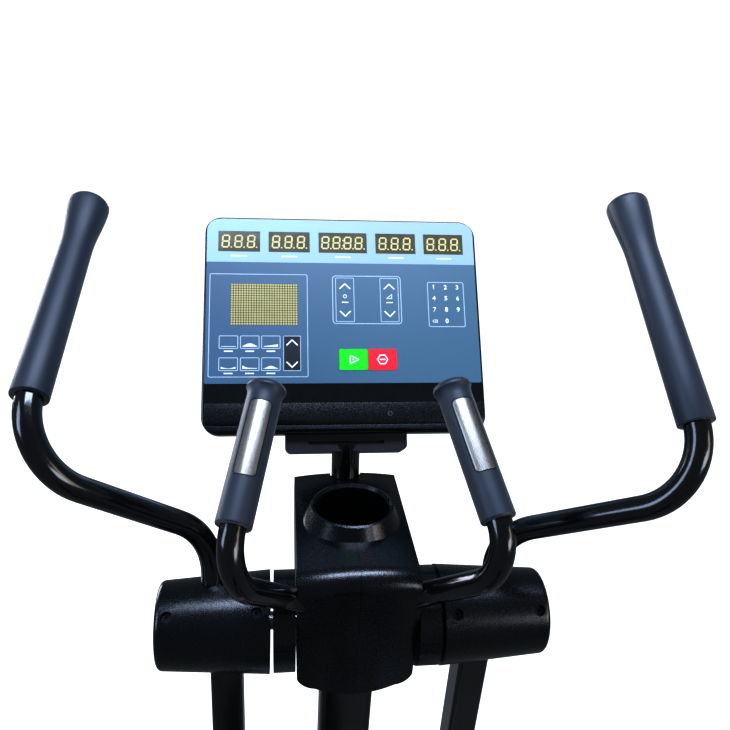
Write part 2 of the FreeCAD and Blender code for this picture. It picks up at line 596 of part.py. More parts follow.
def barrel_profile(side, inset):
    """Outline of a barrel cover about the swing axis, inset from its outside."""
    x_in, x_out = BARREL_IN + inset, BARREL_OUT - inset
    r_in, r_out = BARREL_R_IN - inset, BARREL_R_OUT - inset
    bend = BARREL_ROUND - inset
    middle = bend * (1 - math.sqrt(0.5))
    flat = [V(side * x_out, 0, 0), V(side * x_in, 0, 0), V(side * x_in, r_in, 0),
            V(side * (x_out - bend), r_out, 0)]
    end = V(side * x_out, r_out - bend, 0)
    arc = Part.Arc(flat[3], V(side * (x_out - middle), r_out - middle, 0), end).toShape()
    edges = [Part.LineSegment(a, b).toShape() for a, b in zip(flat, flat[1:])]
    return edges + [arc, Part.LineSegment(end, flat[0]).toShape()]


def barrel_solid(side, inset):
    """Filled barrel about the swing axis."""
    solid = turned(barrel_profile(side, inset), X_AXIS)
    solid.translate(PIVOT)
    return solid


def screw_holes(side, radius, depth_from, depth_to):
    """Cylinders on the axes of a barrel's cover screws."""
    out = V(0, -math.cos(math.radians(SCREW_UP_DEG)), math.sin(math.radians(SCREW_UP_DEG)))
    tools = []
    for x in (BARREL_IN + SCREW_INSET, BARREL_OUT - SCREW_INSET):
        base = PIVOT + V(side * x, 0, 0)
        tools.append(Part.makeCylinder(radius, depth_to - depth_from, base + out * depth_from, out))
    return tools


def barrel_radius(x):
    """Outside radius of a barrel at a distance from the middle plane."""
    share = (x - BARREL_IN) / (BARREL_OUT - BARREL_ROUND - BARREL_IN)
    return BARREL_R_IN + (BARREL_R_OUT - BARREL_R_IN) * share


def screw_depths():
    """Outside radius of the barrel at each cover screw."""
    return [barrel_radius(x) for x in (BARREL_IN + SCREW_INSET, BARREL_OUT - SCREW_INSET)]


def cover_screws(side):
    """Screws sunk in the barrel's counterbores, with a hex socket."""
    screws = []
    out = V(0, -math.cos(math.radians(SCREW_UP_DEG)), math.sin(math.radians(SCREW_UP_DEG)))
    for x, surface in zip((BARREL_IN + SCREW_INSET, BARREL_OUT - SCREW_INSET), screw_depths()):
        base = PIVOT + V(side * x, 0, 0)
        head_from, head_to = HUB_R + BOSS_FOOT + BARREL_WALL, surface - SCREW_DEPTH
        head = Part.makeCylinder(SCREW_R - SEAT_GAP, head_to - head_from, base + out * head_from, out)
        shank = Part.makeCylinder(SCREW_SHANK_R, head_from - HUB_R, base + out * HUB_R, out)
        socket = Part.makeCylinder(SCREW_SHANK_R, SCREW_DEPTH / 2,
                                   base + out * (head_to - SCREW_DEPTH / 2), out)
        screws.append(fuse(head, shank).cut(socket))
    return group(*screws)


def barrel_cover(side):
    """Tapered barrel in a user-side half and a far half, with screw pockets in the first."""
    shell = barrel_solid(side, 0).cut(barrel_solid(side, BARREL_WALL))
    foot, reach = HUB_R + BOSS_FOOT, BARREL_R_IN + BARREL_WALL
    holes = screw_holes(side, SCREW_R, foot + BARREL_WALL, reach)
    bosses = screw_holes(side, SCREW_R + BARREL_WALL, foot, reach)
    bosses = [boss.common(barrel_solid(side, 0)) for boss in bosses]
    shell = cut(fuse(shell, *bosses), *holes, *screw_holes(side, SCREW_SHANK_R, HUB_R, BARREL_R_IN))
    neck = (side * (BARREL_IN - BODY_GAP), side * (BARREL_IN + BARREL_NECK))
    openings = [rod_x(BARREL_BORE, *neck, PIVOT_Y, PIVOT_HEIGHT),
                swept_rod(bar_points(side), (BAR_KNEE_R, BAR_ELBOW_R), TUBE_R + SEAT_GAP),
                arm_blank(side, SEAT_GAP)]
    shell = cut(shell, *openings)
    halves = []
    x_range = sorted((side * (BARREL_IN - BODY_GAP), side * (BARREL_OUT + BODY_GAP)))
    for y_range in ((-reach, -SEAT_GAP / 2), (SEAT_GAP / 2, reach)):
        keep = box(x_range, [PIVOT_Y + y for y in y_range], (PIVOT_HEIGHT - reach, PIVOT_HEIGHT + reach))
        halves.append(shell.common(keep))
    return group(*halves)


def handlebar(side):
    """Bent handlebar tube, welded to its hub."""
    return bent_tube(bar_points(side), (BAR_KNEE_R, BAR_ELBOW_R)).cut(hub_blank(side))


def grip_profile(length):
    """Outline of a moving grip about Z: a long waist, a flared head and a rounded top."""
    flare_z, head_z, bore_z = length - GRIP_FLARE_RUN, length - GRIP_HEAD_RUN, length - TUBE_PLUG
    low, waist = V(GRIP_R_LOW, 0, GRIP_EDGE), V(GRIP_R_WAIST, 0, flare_z)
    head, top = V(GRIP_R_FLARE, 0, head_z), V(GRIP_R_TOP, 0, length)
    chain = [V(0, 0, length), V(0, 0, bore_z), V(TUBE_R, 0, bore_z), V(TUBE_R, 0, 0),
             V(GRIP_R_LOW - GRIP_EDGE, 0, 0), low, waist]
    edges = [Part.LineSegment(a, b) for a, b in zip(chain, chain[1:])]
    edges += [Part.Arc(waist, V(GRIP_R_WAIST + GRIP_FLARE_SAG, 0, (flare_z + head_z) / 2), head),
              Part.Arc(head, (head + top) / 2 + V(GRIP_HEAD_SAG, 0, GRIP_HEAD_SAG), top),
              Part.LineSegment(top, chain[0])]
    return [edge.toShape() for edge in edges]


def handle_grip(side):
    """Long soft grip over the end of a handlebar."""
    start = bar_points(side)[2]
    direction = mirror_x(V(GRIP_RUN).normalize(), side)
    return moved(turned(grip_profile(GRIP_TO - GRIP_FROM)), start + direction * GRIP_FROM, direction)


def arm_ends(side):
    """Upper and lower centre of a lower arm at its middle position."""
    top = PIVOT + V(side * TRACK_X, 0, 0)
    return top, MIDDLE_LINK + V(side * TRACK_X, 0, 0)


def arm_blank(side, grow):
    """Filled outline of a lower arm's tube, grown all round by a gap."""
    top, low = arm_ends(side)
    half_w, half_d = ARM_W / 2 + grow, ARM_DEPTH / 2 + grow
    bar = rounded_box((-half_w, half_w), (-half_d, half_d), (0, (low - top).Length), Z_AXIS,
                      ARM_ROUND)
    return moved(bar, top, low - top)


def lower_arm(side):
    """Rectangular tube from the hub to the boss of the lower pivot."""
    top, low = arm_ends(side)
    tube = moved(rect_tube_z(ARM_W, ARM_DEPTH, ARM_WALL, (low - top).Length, ARM_ROUND), top, low - top)
    boss_x = (side * TRACK_X - BOSS_HALF, side * TRACK_X + BOSS_HALF)
    boss = rod_x(BOSS_R, *boss_x, low.y, low.z)
    bore = rod_x(LINK_PIN_R + RUN_CLEARANCE, *boss_x, low.y, low.z)
    tube = cut(tube, hub_blank(side), rod_x(BOSS_R - BODY_GAP, *boss_x, low.y, low.z))
    return fuse(tube, boss).cut(bore)


# ================================================================ rail
def rail_frame(name):
    """Turn that lays a rail's local Y axis from its crank pin to its link pin."""
    link, pin, _ = LINKAGE[name]
    tilt = math.degrees(math.atan2(link.z - pin.z, link.y - pin.y))
    side = dict(SIDES)[name]
    return FreeCAD.Placement(link + V(side * TRACK_X, 0, 0), FreeCAD.Rotation(X_AXIS, tilt))


def lay(shape, name):
    """Set a piece built about the link pin, with the rail along -Y, on its rail."""
    copy = shape.copy()
    copy.Placement = rail_frame(name).multiply(copy.Placement)
    return copy


def foot_rail(name):
    """Rectangular rail with two ears at the link pin and a bearing eye at the crank pin."""
    half_w, half_h = RAIL_W / 2, RAIL_H / 2
    tube = rect_tube_z(RAIL_W, RAIL_H, RAIL_WALL, RAIL_LENGTH - RAIL_CLEAR, RAIL_ROUND)
    tube = moved(tube, V(0, -RAIL_CLEAR, 0), V(0, -1, 0))
    eye = rod_x(RAIL_END_R, -half_w, half_w, -RAIL_LENGTH, 0)
    seat = rod_x(RAIL_BEARING_R, -half_w, half_w, -RAIL_LENGTH, 0)
    ears = []
    for sign in (-1, 1):
        start = sign * half_w
        x_range = sorted((start, start + sign * EAR_T))
        strap = box(x_range, (-RAIL_CLEAR - EAR_LAP, 0), (-half_h + EAR_INSET, half_h - EAR_INSET))
        ears.append(fuse(strap, rod_x(EAR_R, *x_range, 0, 0)))
    hole = rod_x(LINK_PIN_R, -RAIL_W, RAIL_W, 0, 0)
    return lay(cut(fuse(tube, eye, *ears), seat, hole), name)


def link_pin(name):
    """Pin through the ears and the arm's boss, with a head and a nut."""
    reach = RAIL_W / 2 + EAR_T
    pin = rod_x(LINK_PIN_R, -reach, reach, 0, 0)
    heads = [rod_x(LINK_HEAD_R, sign * reach, sign * (reach + LINK_HEAD_T), 0, 0) for sign in (-1, 1)]
    return lay(fuse(pin, *heads), name)


def rail_bearing(name):
    """Bearing ring in the rail's rear eye."""
    half_w = RAIL_W / 2 - RAIL_BEARING_INSET
    ring = ring_x(RAIL_BEARING_R, RAIL_BEARING_BORE, -half_w, half_w, -RAIL_LENGTH, 0)
    return lay(ring, name)


def foot_plate(name):
    """Foot tray on the rail: a floor with side rims, a high toe wall and a low heel lip."""
    side = dict(SIDES)[name]
    middle_x = -side * PLATE_INBOARD
    x_range = (middle_x - PLATE_W / 2, middle_x + PLATE_W / 2)
    y_range = (-PLATE_SETBACK - PLATE_LENGTH / 2, -PLATE_SETBACK + PLATE_LENGTH / 2)
    low = RAIL_H / 2
    tray = rounded_box(x_range, y_range, (low, low + TOE_H), Z_AXIS, PLATE_CORNER_R)
    well = rounded_box((x_range[0] + RIM_T, x_range[1] - RIM_T), (y_range[0] + RIM_T, y_range[1] - RIM_T),
                       (low + PLATE_T, low + TOE_H + 1), Z_AXIS, PLATE_CORNER_R - RIM_T)
    toe_from, heel_to = y_range[1] - TOE_RUN, y_range[0] + HEEL_RUN
    sky = low + TOE_H + 1
    above = plate_yz(((y_range[0] - 1, low + RIM_H / 2), (heel_to, low + RIM_H), (toe_from, low + RIM_H),
                      (y_range[1] - TOE_TOP_RUN, sky), (y_range[0] - 1, sky)),
                     x_range[0] - 1, x_range[1] + 1)
    return lay(cut(tray, well, above), name)


# ================================================================ housing
TOP_SLOPE = (BACK_Z - CREASE_Z) / (BACK_Y - CREASE_Y)


def slant(profile_edges, direction):
    """Prism of a closed outline along a slanted direction, centred on the outline."""
    face = Part.Face(Part.Wire(profile_edges))
    face.translate(direction * -0.5)
    return face.extrude(direction)


def housing_plan(inset):
    """Plan outline with a bowed front, swept along the front face's slope."""
    half, front, back = HOUSING_HALF - inset, CREASE_Y + inset, REAR_Y * 2
    left, right = V(-half, front + FRONT_BULGE, CREASE_Z), V(half, front + FRONT_BULGE, CREASE_Z)
    arc = Part.Arc(left, V(0, front, CREASE_Z), right).toShape()
    rest = [Part.LineSegment(right, V(half, back, CREASE_Z)).toShape(),
            Part.LineSegment(V(half, back, CREASE_Z), V(-half, back, CREASE_Z)).toShape(),
            Part.LineSegment(V(-half, back, CREASE_Z), left).toShape()]
    slope = V(0, CREASE_Y - CHIN_Y, CREASE_Z - CHIN_Z).normalize()
    return slant([arc] + rest, slope * HOUSING_SWEEP)


def housing_section(inset):
    """Cross section with a crowned top and a rounded, sagging underside, swept along the top's slope."""
    half, top = HOUSING_HALF - inset + 1, CREASE_Z - inset
    chin = CHIN_Z - TOP_SLOPE * (CHIN_Y - CREASE_Y)
    low, bend = chin - CHIN_CROWN + inset, CHIN_ROUND - inset
    y = CREASE_Y
    right, left = V(half, y, top - TOP_CROWN), V(-half, y, top - TOP_CROWN)
    shoulder = low + CHIN_CROWN
    cos45 = bend * (1 - math.sqrt(0.5))
    chain = [Part.Arc(left, V(0, y, top), right),
             Part.LineSegment(right, V(half, y, shoulder + bend)),
             Part.Arc(V(half, y, shoulder + bend), V(half - cos45, y, shoulder + cos45),
                      V(half - bend, y, shoulder)),
             Part.Arc(V(half - bend, y, shoulder), V(0, y, low), V(-half + bend, y, shoulder)),
             Part.Arc(V(-half + bend, y, shoulder), V(-half + cos45, y, shoulder + cos45),
                      V(-half, y, shoulder + bend)),
             Part.LineSegment(V(-half, y, shoulder + bend), left)]
    return [edge.toShape() for edge in chain]


def housing_volume(inset):
    """Filled housing, inset from its outside, in the trainer's frame."""
    section = slant(housing_section(inset), V(0, 1, TOP_SLOPE).normalize() * HOUSING_SWEEP)
    solid = housing_plan(inset).common(section).common(housing_rear(inset))
    solid.translate(PIVOT)
    return solid


def housing_rear(inset):
    """Side outline that closes the housing's rear."""
    low, high = CHIN_Z - CHIN_CROWN - HOUSING_PAST, BACK_Z + 2 * HOUSING_PAST
    front, half = CREASE_Y - HOUSING_PAST, HOUSING_HALF + HOUSING_PAST
    outline = [(front, low), (TAIL_Y - inset, low), (REAR_Y - inset, REAR_Z - REAR_DROP),
               (REAR_Y - inset, REAR_Z - inset), (BACK_Y + BACK_STEP_Y, BACK_Z + BACK_STEP_Z - inset),
               (BACK_Y - BACK_STEP_Z, high), (front, high)]
    return plate_yz(outline, -half, half)


def round_housing(solid, radius):
    """Round the crease across the front of the housing."""
    crease = pivot(V(0, CREASE_Y, CREASE_Z))
    edges = [e for e in solid.Edges if abs(e.CenterOfMass.x) < 1 and e.Length > HOUSING_HALF
             and (V(0, e.CenterOfMass.y, e.CenterOfMass.z) - crease).Length < CREASE_NEAR]
    return solid.makeFillet(radius, edges)


def fixed_points(side):
    """Points of a fixed handle's axis."""
    down = (FIXED_GRIP_LOW - FIXED_GRIP_TOP).normalize()
    bend, top = FIXED_GRIP_LOW + down * FIXED_NECK, FIXED_GRIP_TOP + down * FIXED_FLARE
    points = (FIXED_ROOT, FIXED_SIDE, bend, top)
    return [pivot(mirror_x(point, side)) for point in points]


def cup_plane_z():
    """Height of the housing's top at the cup, from the swing axis."""
    return CREASE_Z + TOP_SLOPE * (CUP_Y - CREASE_Y)


CUP_TILT = math.degrees(math.atan(TOP_SLOPE))


def set_cup(shape):
    """Set a piece turned about Z in the cup's place, square to the housing's top."""
    copy = shape.copy()
    copy.Placement = FreeCAD.Placement(pivot(V(0, CUP_Y, cup_plane_z())),
                                       FreeCAD.Rotation(X_AXIS, CUP_TILT)).multiply(copy.Placement)
    return copy


def cup_holder():
    """Cup well with a raised conical ring and a thin flange on the housing."""
    floor = -CUP_DEPTH
    flange_z = -TOP_CROWN
    lip = CUP_RISE + CUP_LIP_EDGE / 2
    profile = [V(0, 0, floor - CUP_WALL), V(CUP_R - CUP_DRAFT, 0, floor - CUP_WALL),
               V(CUP_R - CUP_DRAFT + CUP_WALL, 0, floor), V(CUP_R + CUP_WALL, 0, flange_z),
               V(CUP_RING_R, 0, flange_z), V(CUP_RING_R, 0, flange_z + CUP_FLANGE),
               V(CUP_LIP_R, 0, CUP_RISE), V(CUP_LIP_R - CUP_LIP_EDGE, 0, lip),
               V(CUP_R, 0, CUP_RISE - CUP_LIP_EDGE), V(CUP_R - CUP_DRAFT, 0, floor), V(0, 0, floor)]
    top = housing_volume(0).cut(cup_hole())
    return set_cup(turned(lines(profile))).cut(top)


def cup_hole():
    """Hole in the housing's top that the cup's well drops through."""
    low = V(0, 0, -CUP_DEPTH - 2 * CUP_WALL)
    return set_cup(Part.makeCylinder(CUP_R + CUP_WALL + SEAT_GAP, CUP_DEPTH + 2 * HOUSING_PAST, low))


def housing_openings():
    """Volumes cut from the housing for the cup, mast, post, axle and fixed handles."""
    low, grow = CHIN_Z - CHIN_CROWN - HOUSING_PAST, OPENING_GAP
    mast_hole = [(mast_face_y(h, s) + s * grow, PIVOT_HEIGHT + h)
                 for h, s in ((low, -1), (low, 1), (MAST_TOP, 1), (MAST_TOP, -1))]
    tools = [cup_hole(), plate_yz(mast_hole, -MAST_W / 2 - grow, MAST_W / 2 + grow),
             post_rod(POST_R + grow, MAST_TOP, BACK_Z + MAST_TOP),
             rod_x(AXLE_R + AXLE_PASS, -HOUSING_HALF - BODY_GAP, HOUSING_HALF + BODY_GAP,
                   PIVOT_Y, PIVOT_HEIGHT)]
    for _, side in SIDES:
        tools.append(swept_rod(fixed_points(side), (FIXED_SIDE_R, FIXED_BEND_R), TUBE_R + SEAT_GAP))
    return tools


def housing_shell():
    """Whole housing with its openings, before it is split."""
    outer = round_housing(housing_volume(0), CREASE_ROUND)
    inner = round_housing(housing_volume(HOUSING_WALL), CREASE_ROUND - HOUSING_WALL)
    return cut(outer, inner, *housing_openings())


def housing_half(shell, side):
    """Left or right shell of the housing, with a fine seam at the middle."""
    x_range = sorted((side * SEAT_GAP / 2, side * (HOUSING_HALF + HOUSING_PAST)))
    low, high = shell.BoundBox.ZMin, shell.BoundBox.ZMax
    keep = box(x_range, (shell.BoundBox.YMin - BODY_GAP, shell.BoundBox.YMax + BODY_GAP),
               (low - BODY_GAP, high + BODY_GAP))
    return shell.common(keep)


# ================================================================ fixed handles
def fixed_handle(side):
    """Bent tube from the yoke, through the housing's side, to the fixed grip."""
    points = fixed_points(side)
    root = pivot(mirror_x(FIXED_ROOT, side))
    yoke = rod_x(TUBE_R + YOKE_WALL, -FIXED_ROOT.x, FIXED_ROOT.x, root.y, root.z)
    return bent_tube(points, (FIXED_SIDE_R, FIXED_BEND_R)).cut(yoke)


def fixed_grip_profile(length):
    """Outline of a fixed grip about Z: a straight body, a flared cap edge and a shallow dome."""
    body, ring, turn = FIXED_GRIP_R, FIXED_CAP_R - FIXED_CAP_EDGE, math.radians(FIXED_CAP_TURN)
    end_r = ring + FIXED_CAP_EDGE * math.cos(turn)
    dome = end_r / math.cos(turn)
    edge_z = length - dome * (1 - math.sin(turn)) - FIXED_CAP_EDGE * math.sin(turn)

    def on_edge(angle):
        """Point of the cap's rounded edge."""
        return V(ring + FIXED_CAP_EDGE * math.cos(angle), 0, edge_z + FIXED_CAP_EDGE * math.sin(angle))

    def on_dome(angle):
        """Point of the cap's dome."""
        return V(dome * math.cos(angle), 0, length - dome + dome * math.sin(angle))

    flare_z, bore_z = edge_z - FIXED_FLARE, length - FIXED_FLARE
    chain = [V(0, 0, length), V(0, 0, bore_z), V(TUBE_R, 0, bore_z), V(TUBE_R, 0, 0),
             V(body - FIXED_EDGE_IN, 0, 0), V(body, 0, FIXED_EDGE_UP), V(body, 0, flare_z)]
    edges = [Part.LineSegment(a, b).toShape() for a, b in zip(chain, chain[1:])]
    quarter = math.pi / 2
    arcs = [Part.Arc(chain[-1], V(body + FIXED_FLARE_SAG, 0, (flare_z + edge_z) / 2), on_edge(0)),
            Part.Arc(on_edge(0), on_edge(turn / 2), on_edge(turn)),
            Part.Arc(on_edge(turn), on_dome((turn + quarter) / 2), chain[0])]
    return edges + [arc.toShape() for arc in arcs]


def pulse_blank(grow):
    """Prism on the user's side of a grip, as wide and long as a pulse plate, grown all round."""
    half = PULSE_W / 2 + grow
    return rounded_box((-half, half), (0, FIXED_GRIP_R * 2),
                       (PULSE_START - grow, PULSE_START + PULSE_L + grow), Y_AXIS,
                       PULSE_CORNER_R + grow)


def set_fixed(shape, side):
    """Set a piece built along Z on a fixed grip's axis, with +Y on the user's side."""
    low, top = (pivot(mirror_x(point, side)) for point in (FIXED_GRIP_LOW, FIXED_GRIP_TOP))
    return moved(shape, low, top - low, V(-1, 0, 0))


def fixed_grip(side):
    """Rubber grip with a pocket for its pulse plate."""
    length = (FIXED_GRIP_TOP - FIXED_GRIP_LOW).Length
    body = turned(fixed_grip_profile(length))
    core = Part.makeCylinder(FIXED_GRIP_R - PULSE_T, length * 2, V(0, 0, -length / 2))
    pocket = pulse_blank(PULSE_FRAME).cut(core)
    return set_fixed(body.cut(pocket), side)


def pulse_plate(side):
    """Curved steel pulse plate, a little proud of the grip."""
    outer = Part.makeCylinder(FIXED_GRIP_R + PULSE_PROUD, PULSE_L * 2)
    core = Part.makeCylinder(FIXED_GRIP_R - PULSE_T, PULSE_L * 2)
    return set_fixed(outer.cut(core).common(pulse_blank(0)), side)


# ================================================================ console
# x runs across the face, y up it and z out of it
def set_console(shape):
    """Set a piece built in the console's own frame on the trainer."""
    copy = shape.copy()
    place = FreeCAD.Placement(pivot(V(0, CONSOLE_Y, CONSOLE_Z)), FreeCAD.Rotation(X_AXIS, 90 - CONSOLE_TILT))
    copy.Placement = place.multiply(copy.Placement)
    return copy


def face_slab(inset, y_low, y_high, z_low, z_high, radius):
    """Slab across the console's face."""
    half = CONSOLE_W / 2 - inset
    return rounded_box((-half, half), (y_low, y_high), (z_low, z_high), Z_AXIS, radius)


def edges_at(solid, z):
    """Edges that lie in the plane at a height z."""
    return [e for e in solid.Edges if abs(e.BoundBox.ZMin - z) < 1e-4 and abs(e.BoundBox.ZMax - z) < 1e-4]


def window_blanks(z_low, z_high, grow=0.0):
    """Blocks in the places of the display windows."""
    blanks = []
    for middle, width in NUMBER_WINDOWS:
        half = width / 2 + grow
        blanks.append(rounded_box((middle - half, middle + half),
                                  (NUMBER_WINDOW_Z - grow, NUMBER_WINDOW_Z + NUMBER_WINDOW_H + grow),
                                  (z_low, z_high), Z_AXIS, WINDOW_R))
    half = MATRIX_W / 2 + grow
    blanks.append(rounded_box((MATRIX_X - half, MATRIX_X + half),
                              (MATRIX_Z - grow, MATRIX_Z + MATRIX_H + grow), (z_low, z_high), Z_AXIS,
                              WINDOW_R))
    return blanks


def key_blank(middle, z_low, z_high, grow=0.0):
    """Block in the place of a key."""
    half = (KEY_W - KEY_GAP) / 2 + grow
    return rounded_box((middle - half, middle + half), (KEY_Z - grow, KEY_Z + KEY_H + grow),
                       (z_low, z_high), Z_AXIS, WINDOW_R)


def key_blanks(z_low, z_high, grow):
    """Blocks in the places of both keys."""
    return [key_blank(middle, z_low, z_high, grow) for _, middle in KEYS]


def console_front_shell():
    """Gloss front shell with seats for the windows and the keys."""
    shell = face_slab(0, 0, CONSOLE_H, -FRONT_DEPTH, 0, CONSOLE_CORNER_R)
    shell = shell.makeFillet(FACE_ROUND, edges_at(shell, 0))
    wall = CONSOLE_WALL
    hollow = face_slab(wall, wall, CONSOLE_H - wall, -FRONT_DEPTH, -wall - KEY_DEPTH,
                       CONSOLE_CORNER_R - wall)
    seats = window_blanks(-WINDOW_DEPTH, 1) + key_blanks(-KEY_DEPTH - KEY_TRAVEL - BODY_GAP / 2, 1, KEY_GAP)
    return set_console(cut(shell, hollow, *seats))


def console_rear_shell():
    """Rear shell, a little smaller than the front one, with a rounded back."""
    z_low = -FRONT_DEPTH - REAR_DEPTH
    inset, wall = REAR_INSET, CONSOLE_WALL
    shell = face_slab(inset, inset, CONSOLE_H - inset, z_low, -FRONT_DEPTH, CONSOLE_CORNER_R - inset)
    shell = shell.makeFillet(REAR_ROUND, edges_at(shell, z_low))
    inset += wall
    hollow = face_slab(inset, inset, CONSOLE_H - inset, z_low + wall, -FRONT_DEPTH, CONSOLE_CORNER_R - inset)
    hollow = hollow.makeFillet(REAR_ROUND - wall, edges_at(hollow, z_low + wall))
    return set_console(shell.cut(hollow))


def console_overlay():
    """Printed membrane with openings for the windows and the keys."""
    sheet = face_slab(OVERLAY_RIM, OVERLAY_FROM, CONSOLE_H - OVERLAY_RIM, 0, OVERLAY_T, OVERLAY_R)
    corners = face_slab(OVERLAY_RIM, OVERLAY_FROM / 2, CONSOLE_H - OVERLAY_RIM, 0, OVERLAY_T,
                        CONSOLE_CORNER_R - OVERLAY_RIM)
    sheet = sheet.common(corners)
    return set_console(cut(sheet, *window_blanks(0, OVERLAY_T), *key_blanks(0, OVERLAY_T, KEY_GAP)))


def display_windows():
    """Clear windows of the numeric displays and of the dot matrix."""
    return group(*(set_console(blank) for blank in window_blanks(-WINDOW_DEPTH, OVERLAY_T)))


def console_key(middle):
    """Key that travels into the console."""
    return set_console(key_blank(middle, -KEY_DEPTH, OVERLAY_T + KEY_RISE))


def console_board():
    """Circuit board inside the console, with its pillars to the front shell."""
    margin = BOARD_MARGIN
    z_top = -CONSOLE_WALL - KEY_DEPTH - BOARD_CLEAR
    board = face_slab(margin, margin, CONSOLE_H - margin, z_top - BOARD_T, z_top, BOARD_R)
    half = CONSOLE_W / 2 - margin - PILLAR_INSET
    pillars = [Part.makeCylinder(PILLAR_R, -CONSOLE_WALL - KEY_DEPTH - z_top, V(x, y, z_top))
               for x in (-half, half) for y in (margin + PILLAR_INSET, CONSOLE_H - margin - PILLAR_INSET)]
    return set_console(fuse(board, *pillars))


def console_bracket():
    """Bracket under the console, with a slot and a seat for the post."""
    half = BRACKET_W / 2
    block = box((-half, half), (-BRACKET_H, REAR_INSET), (-BRACKET_TO, -BRACKET_FROM))
    lower = [e for e in block.Edges if abs(e.CenterOfMass.y + BRACKET_H) < 1
             and abs(e.CenterOfMass.x) > half - 1]
    block = block.makeFillet(BRACKET_ROUND, lower)
    slot = box((-SLOT_W / 2, SLOT_W / 2), (-BRACKET_H / 2 - SLOT_H / 2, -BRACKET_H / 2 + SLOT_H / 2),
               (-BRACKET_FROM - SLOT_DEPTH, -BRACKET_FROM + 1))
    front = face_slab(0, 0, CONSOLE_H, -FRONT_DEPTH, 1, CONSOLE_CORNER_R)
    rear = face_slab(REAR_INSET, REAR_INSET, CONSOLE_H, -FRONT_DEPTH - REAR_DEPTH, 1, CONSOLE_CORNER_R)
    bracket = set_console(cut(block, slot, front, rear))
    return bracket.cut(console_post_blank(POST_R))


def console_post_blank(radius):
    """Filled post from its clamp up to its seat in the bracket."""
    post = post_rod(radius, POST_FOOT, CONSOLE_Z + POST_FOOT)
    seat_y, reach = -BRACKET_H + POST_SEAT, CONSOLE_W
    keep = set_console(box((-reach, reach), (-reach, seat_y), (-reach, reach)))
    return post.common(keep)


def console_post():
    """Round tube from the mast's clamp to the console bracket."""
    return console_post_blank(POST_R).cut(console_post_blank(POST_R - POST_WALL))


# ================================================================ drive
FLYWHEEL = CRANK + V(0, -FLYWHEEL_BACK, -FLYWHEEL_DOWN)


def crank_bars():
    """Crank arm centre lines: side and crank pin."""
    return [(side, LINKAGE[name][1]) for name, side in SIDES]


def crank_axle():
    """Axle across the drive, out to both crank arms."""
    reach = CRANK_ARM_IN + CRANK_ARM_T
    return rod_x(CRANK_AXLE_R, -reach, reach, CRANK.y, CRANK.z)


def crank_arms():
    """Two crank arms with their pins, each arm bored for the axle."""
    arms = []
    for side, pin in crank_bars():
        inner, outer = side * CRANK_ARM_IN, side * (CRANK_ARM_IN + CRANK_ARM_T)
        tip = side * (TRACK_X - RAIL_W / 2 - PIN_END_GAP)
        reach = (pin - CRANK).Length
        half = CRANK_ARM_W / 2
        bar = box(sorted((inner, outer)), (-half * CRANK_BAR_SHARE, half * CRANK_BAR_SHARE), (0, reach))
        bar = moved(bar, V(0, CRANK.y, CRANK.z), V(0, pin.y - CRANK.y, pin.z - CRANK.z))
        hub = rod_x(half, inner, outer, CRANK.y, CRANK.z)
        eye = rod_x(half * CRANK_EYE_SHARE, inner, outer, pin.y, pin.z)
        stub = rod_x(CRANK_PIN_R, outer, tip, pin.y, pin.z)
        bore = rod_x(CRANK_AXLE_R, inner, outer, CRANK.y, CRANK.z)
        arms.append(fuse(bar, hub, eye, stub).cut(bore))
    return group(*arms)


def pulley(radius, width, middle, centre, bore):
    """Belt pulley with a lightened web."""
    low, high = middle - width / 2, middle + width / 2
    wheel = ring_x(radius, bore, low, high, centre.y, centre.z)
    if radius > 3 * bore:
        for start, end in ((low, low + width / 3), (high - width / 3, high)):
            wheel = wheel.cut(ring_x(radius - PULLEY_RIM, bore + PULLEY_HUB, start, end, centre.y, centre.z))
    return wheel


def crank_pulley():
    """Large pulley on the crank axle."""
    return pulley(PULLEY_R, PULLEY_W, PULLEY_MID, CRANK, CRANK_AXLE_R)


def flywheel():
    """Heavy disc on its shaft, with the small pulley beside it."""
    half = SIDE_PLATE_IN + SIDE_PLATE_T + SHAFT_PAST
    low, high = FLYWHEEL_MID - FLYWHEEL_T / 2, FLYWHEEL_MID + FLYWHEEL_T / 2
    disc = ring_x(FLYWHEEL_R, FLYWHEEL_SHAFT_R, low, high, FLYWHEEL.y, FLYWHEEL.z)
    web = ring_x(FLYWHEEL_R - FLYWHEEL_RIM, FLYWHEEL_HUB_R, high - FLYWHEEL_RECESS, high,
                 FLYWHEEL.y, FLYWHEEL.z)
    shaft = rod_x(FLYWHEEL_SHAFT_R, -half, half, FLYWHEEL.y, FLYWHEEL.z)
    small = pulley(SMALL_PULLEY_R, PULLEY_W, PULLEY_MID, FLYWHEEL, FLYWHEEL_SHAFT_R)
    return group(disc.cut(web), shaft, small)


def belt_outline(grow):
    """Closed outline round both pulleys, clear of them by a gap."""
    big, small = PULLEY_R + grow, SMALL_PULLEY_R + grow
    gap = FLYWHEEL - CRANK
    along = gap.normalize()
    distance = math.hypot(FLYWHEEL_BACK, FLYWHEEL_DOWN)
    across = V(0, -along.z, along.y)
    cos_lean = (big - small) / distance
    sin_lean = math.sqrt(1 - cos_lean ** 2)
    radial = [along * cos_lean + across * (sign * sin_lean) for sign in (1, -1)]
    big_ends, small_ends = [CRANK + r * big for r in radial], [FLYWHEEL + r * small for r in radial]
    return [Part.Arc(big_ends[0], CRANK - along * big, big_ends[1]).toShape(),
            Part.LineSegment(big_ends[1], small_ends[1]).toShape(),
            Part.Arc(small_ends[1], FLYWHEEL + along * small, small_ends[0]).toShape(),
            Part.LineSegment(small_ends[0], big_ends[0]).toShape()]


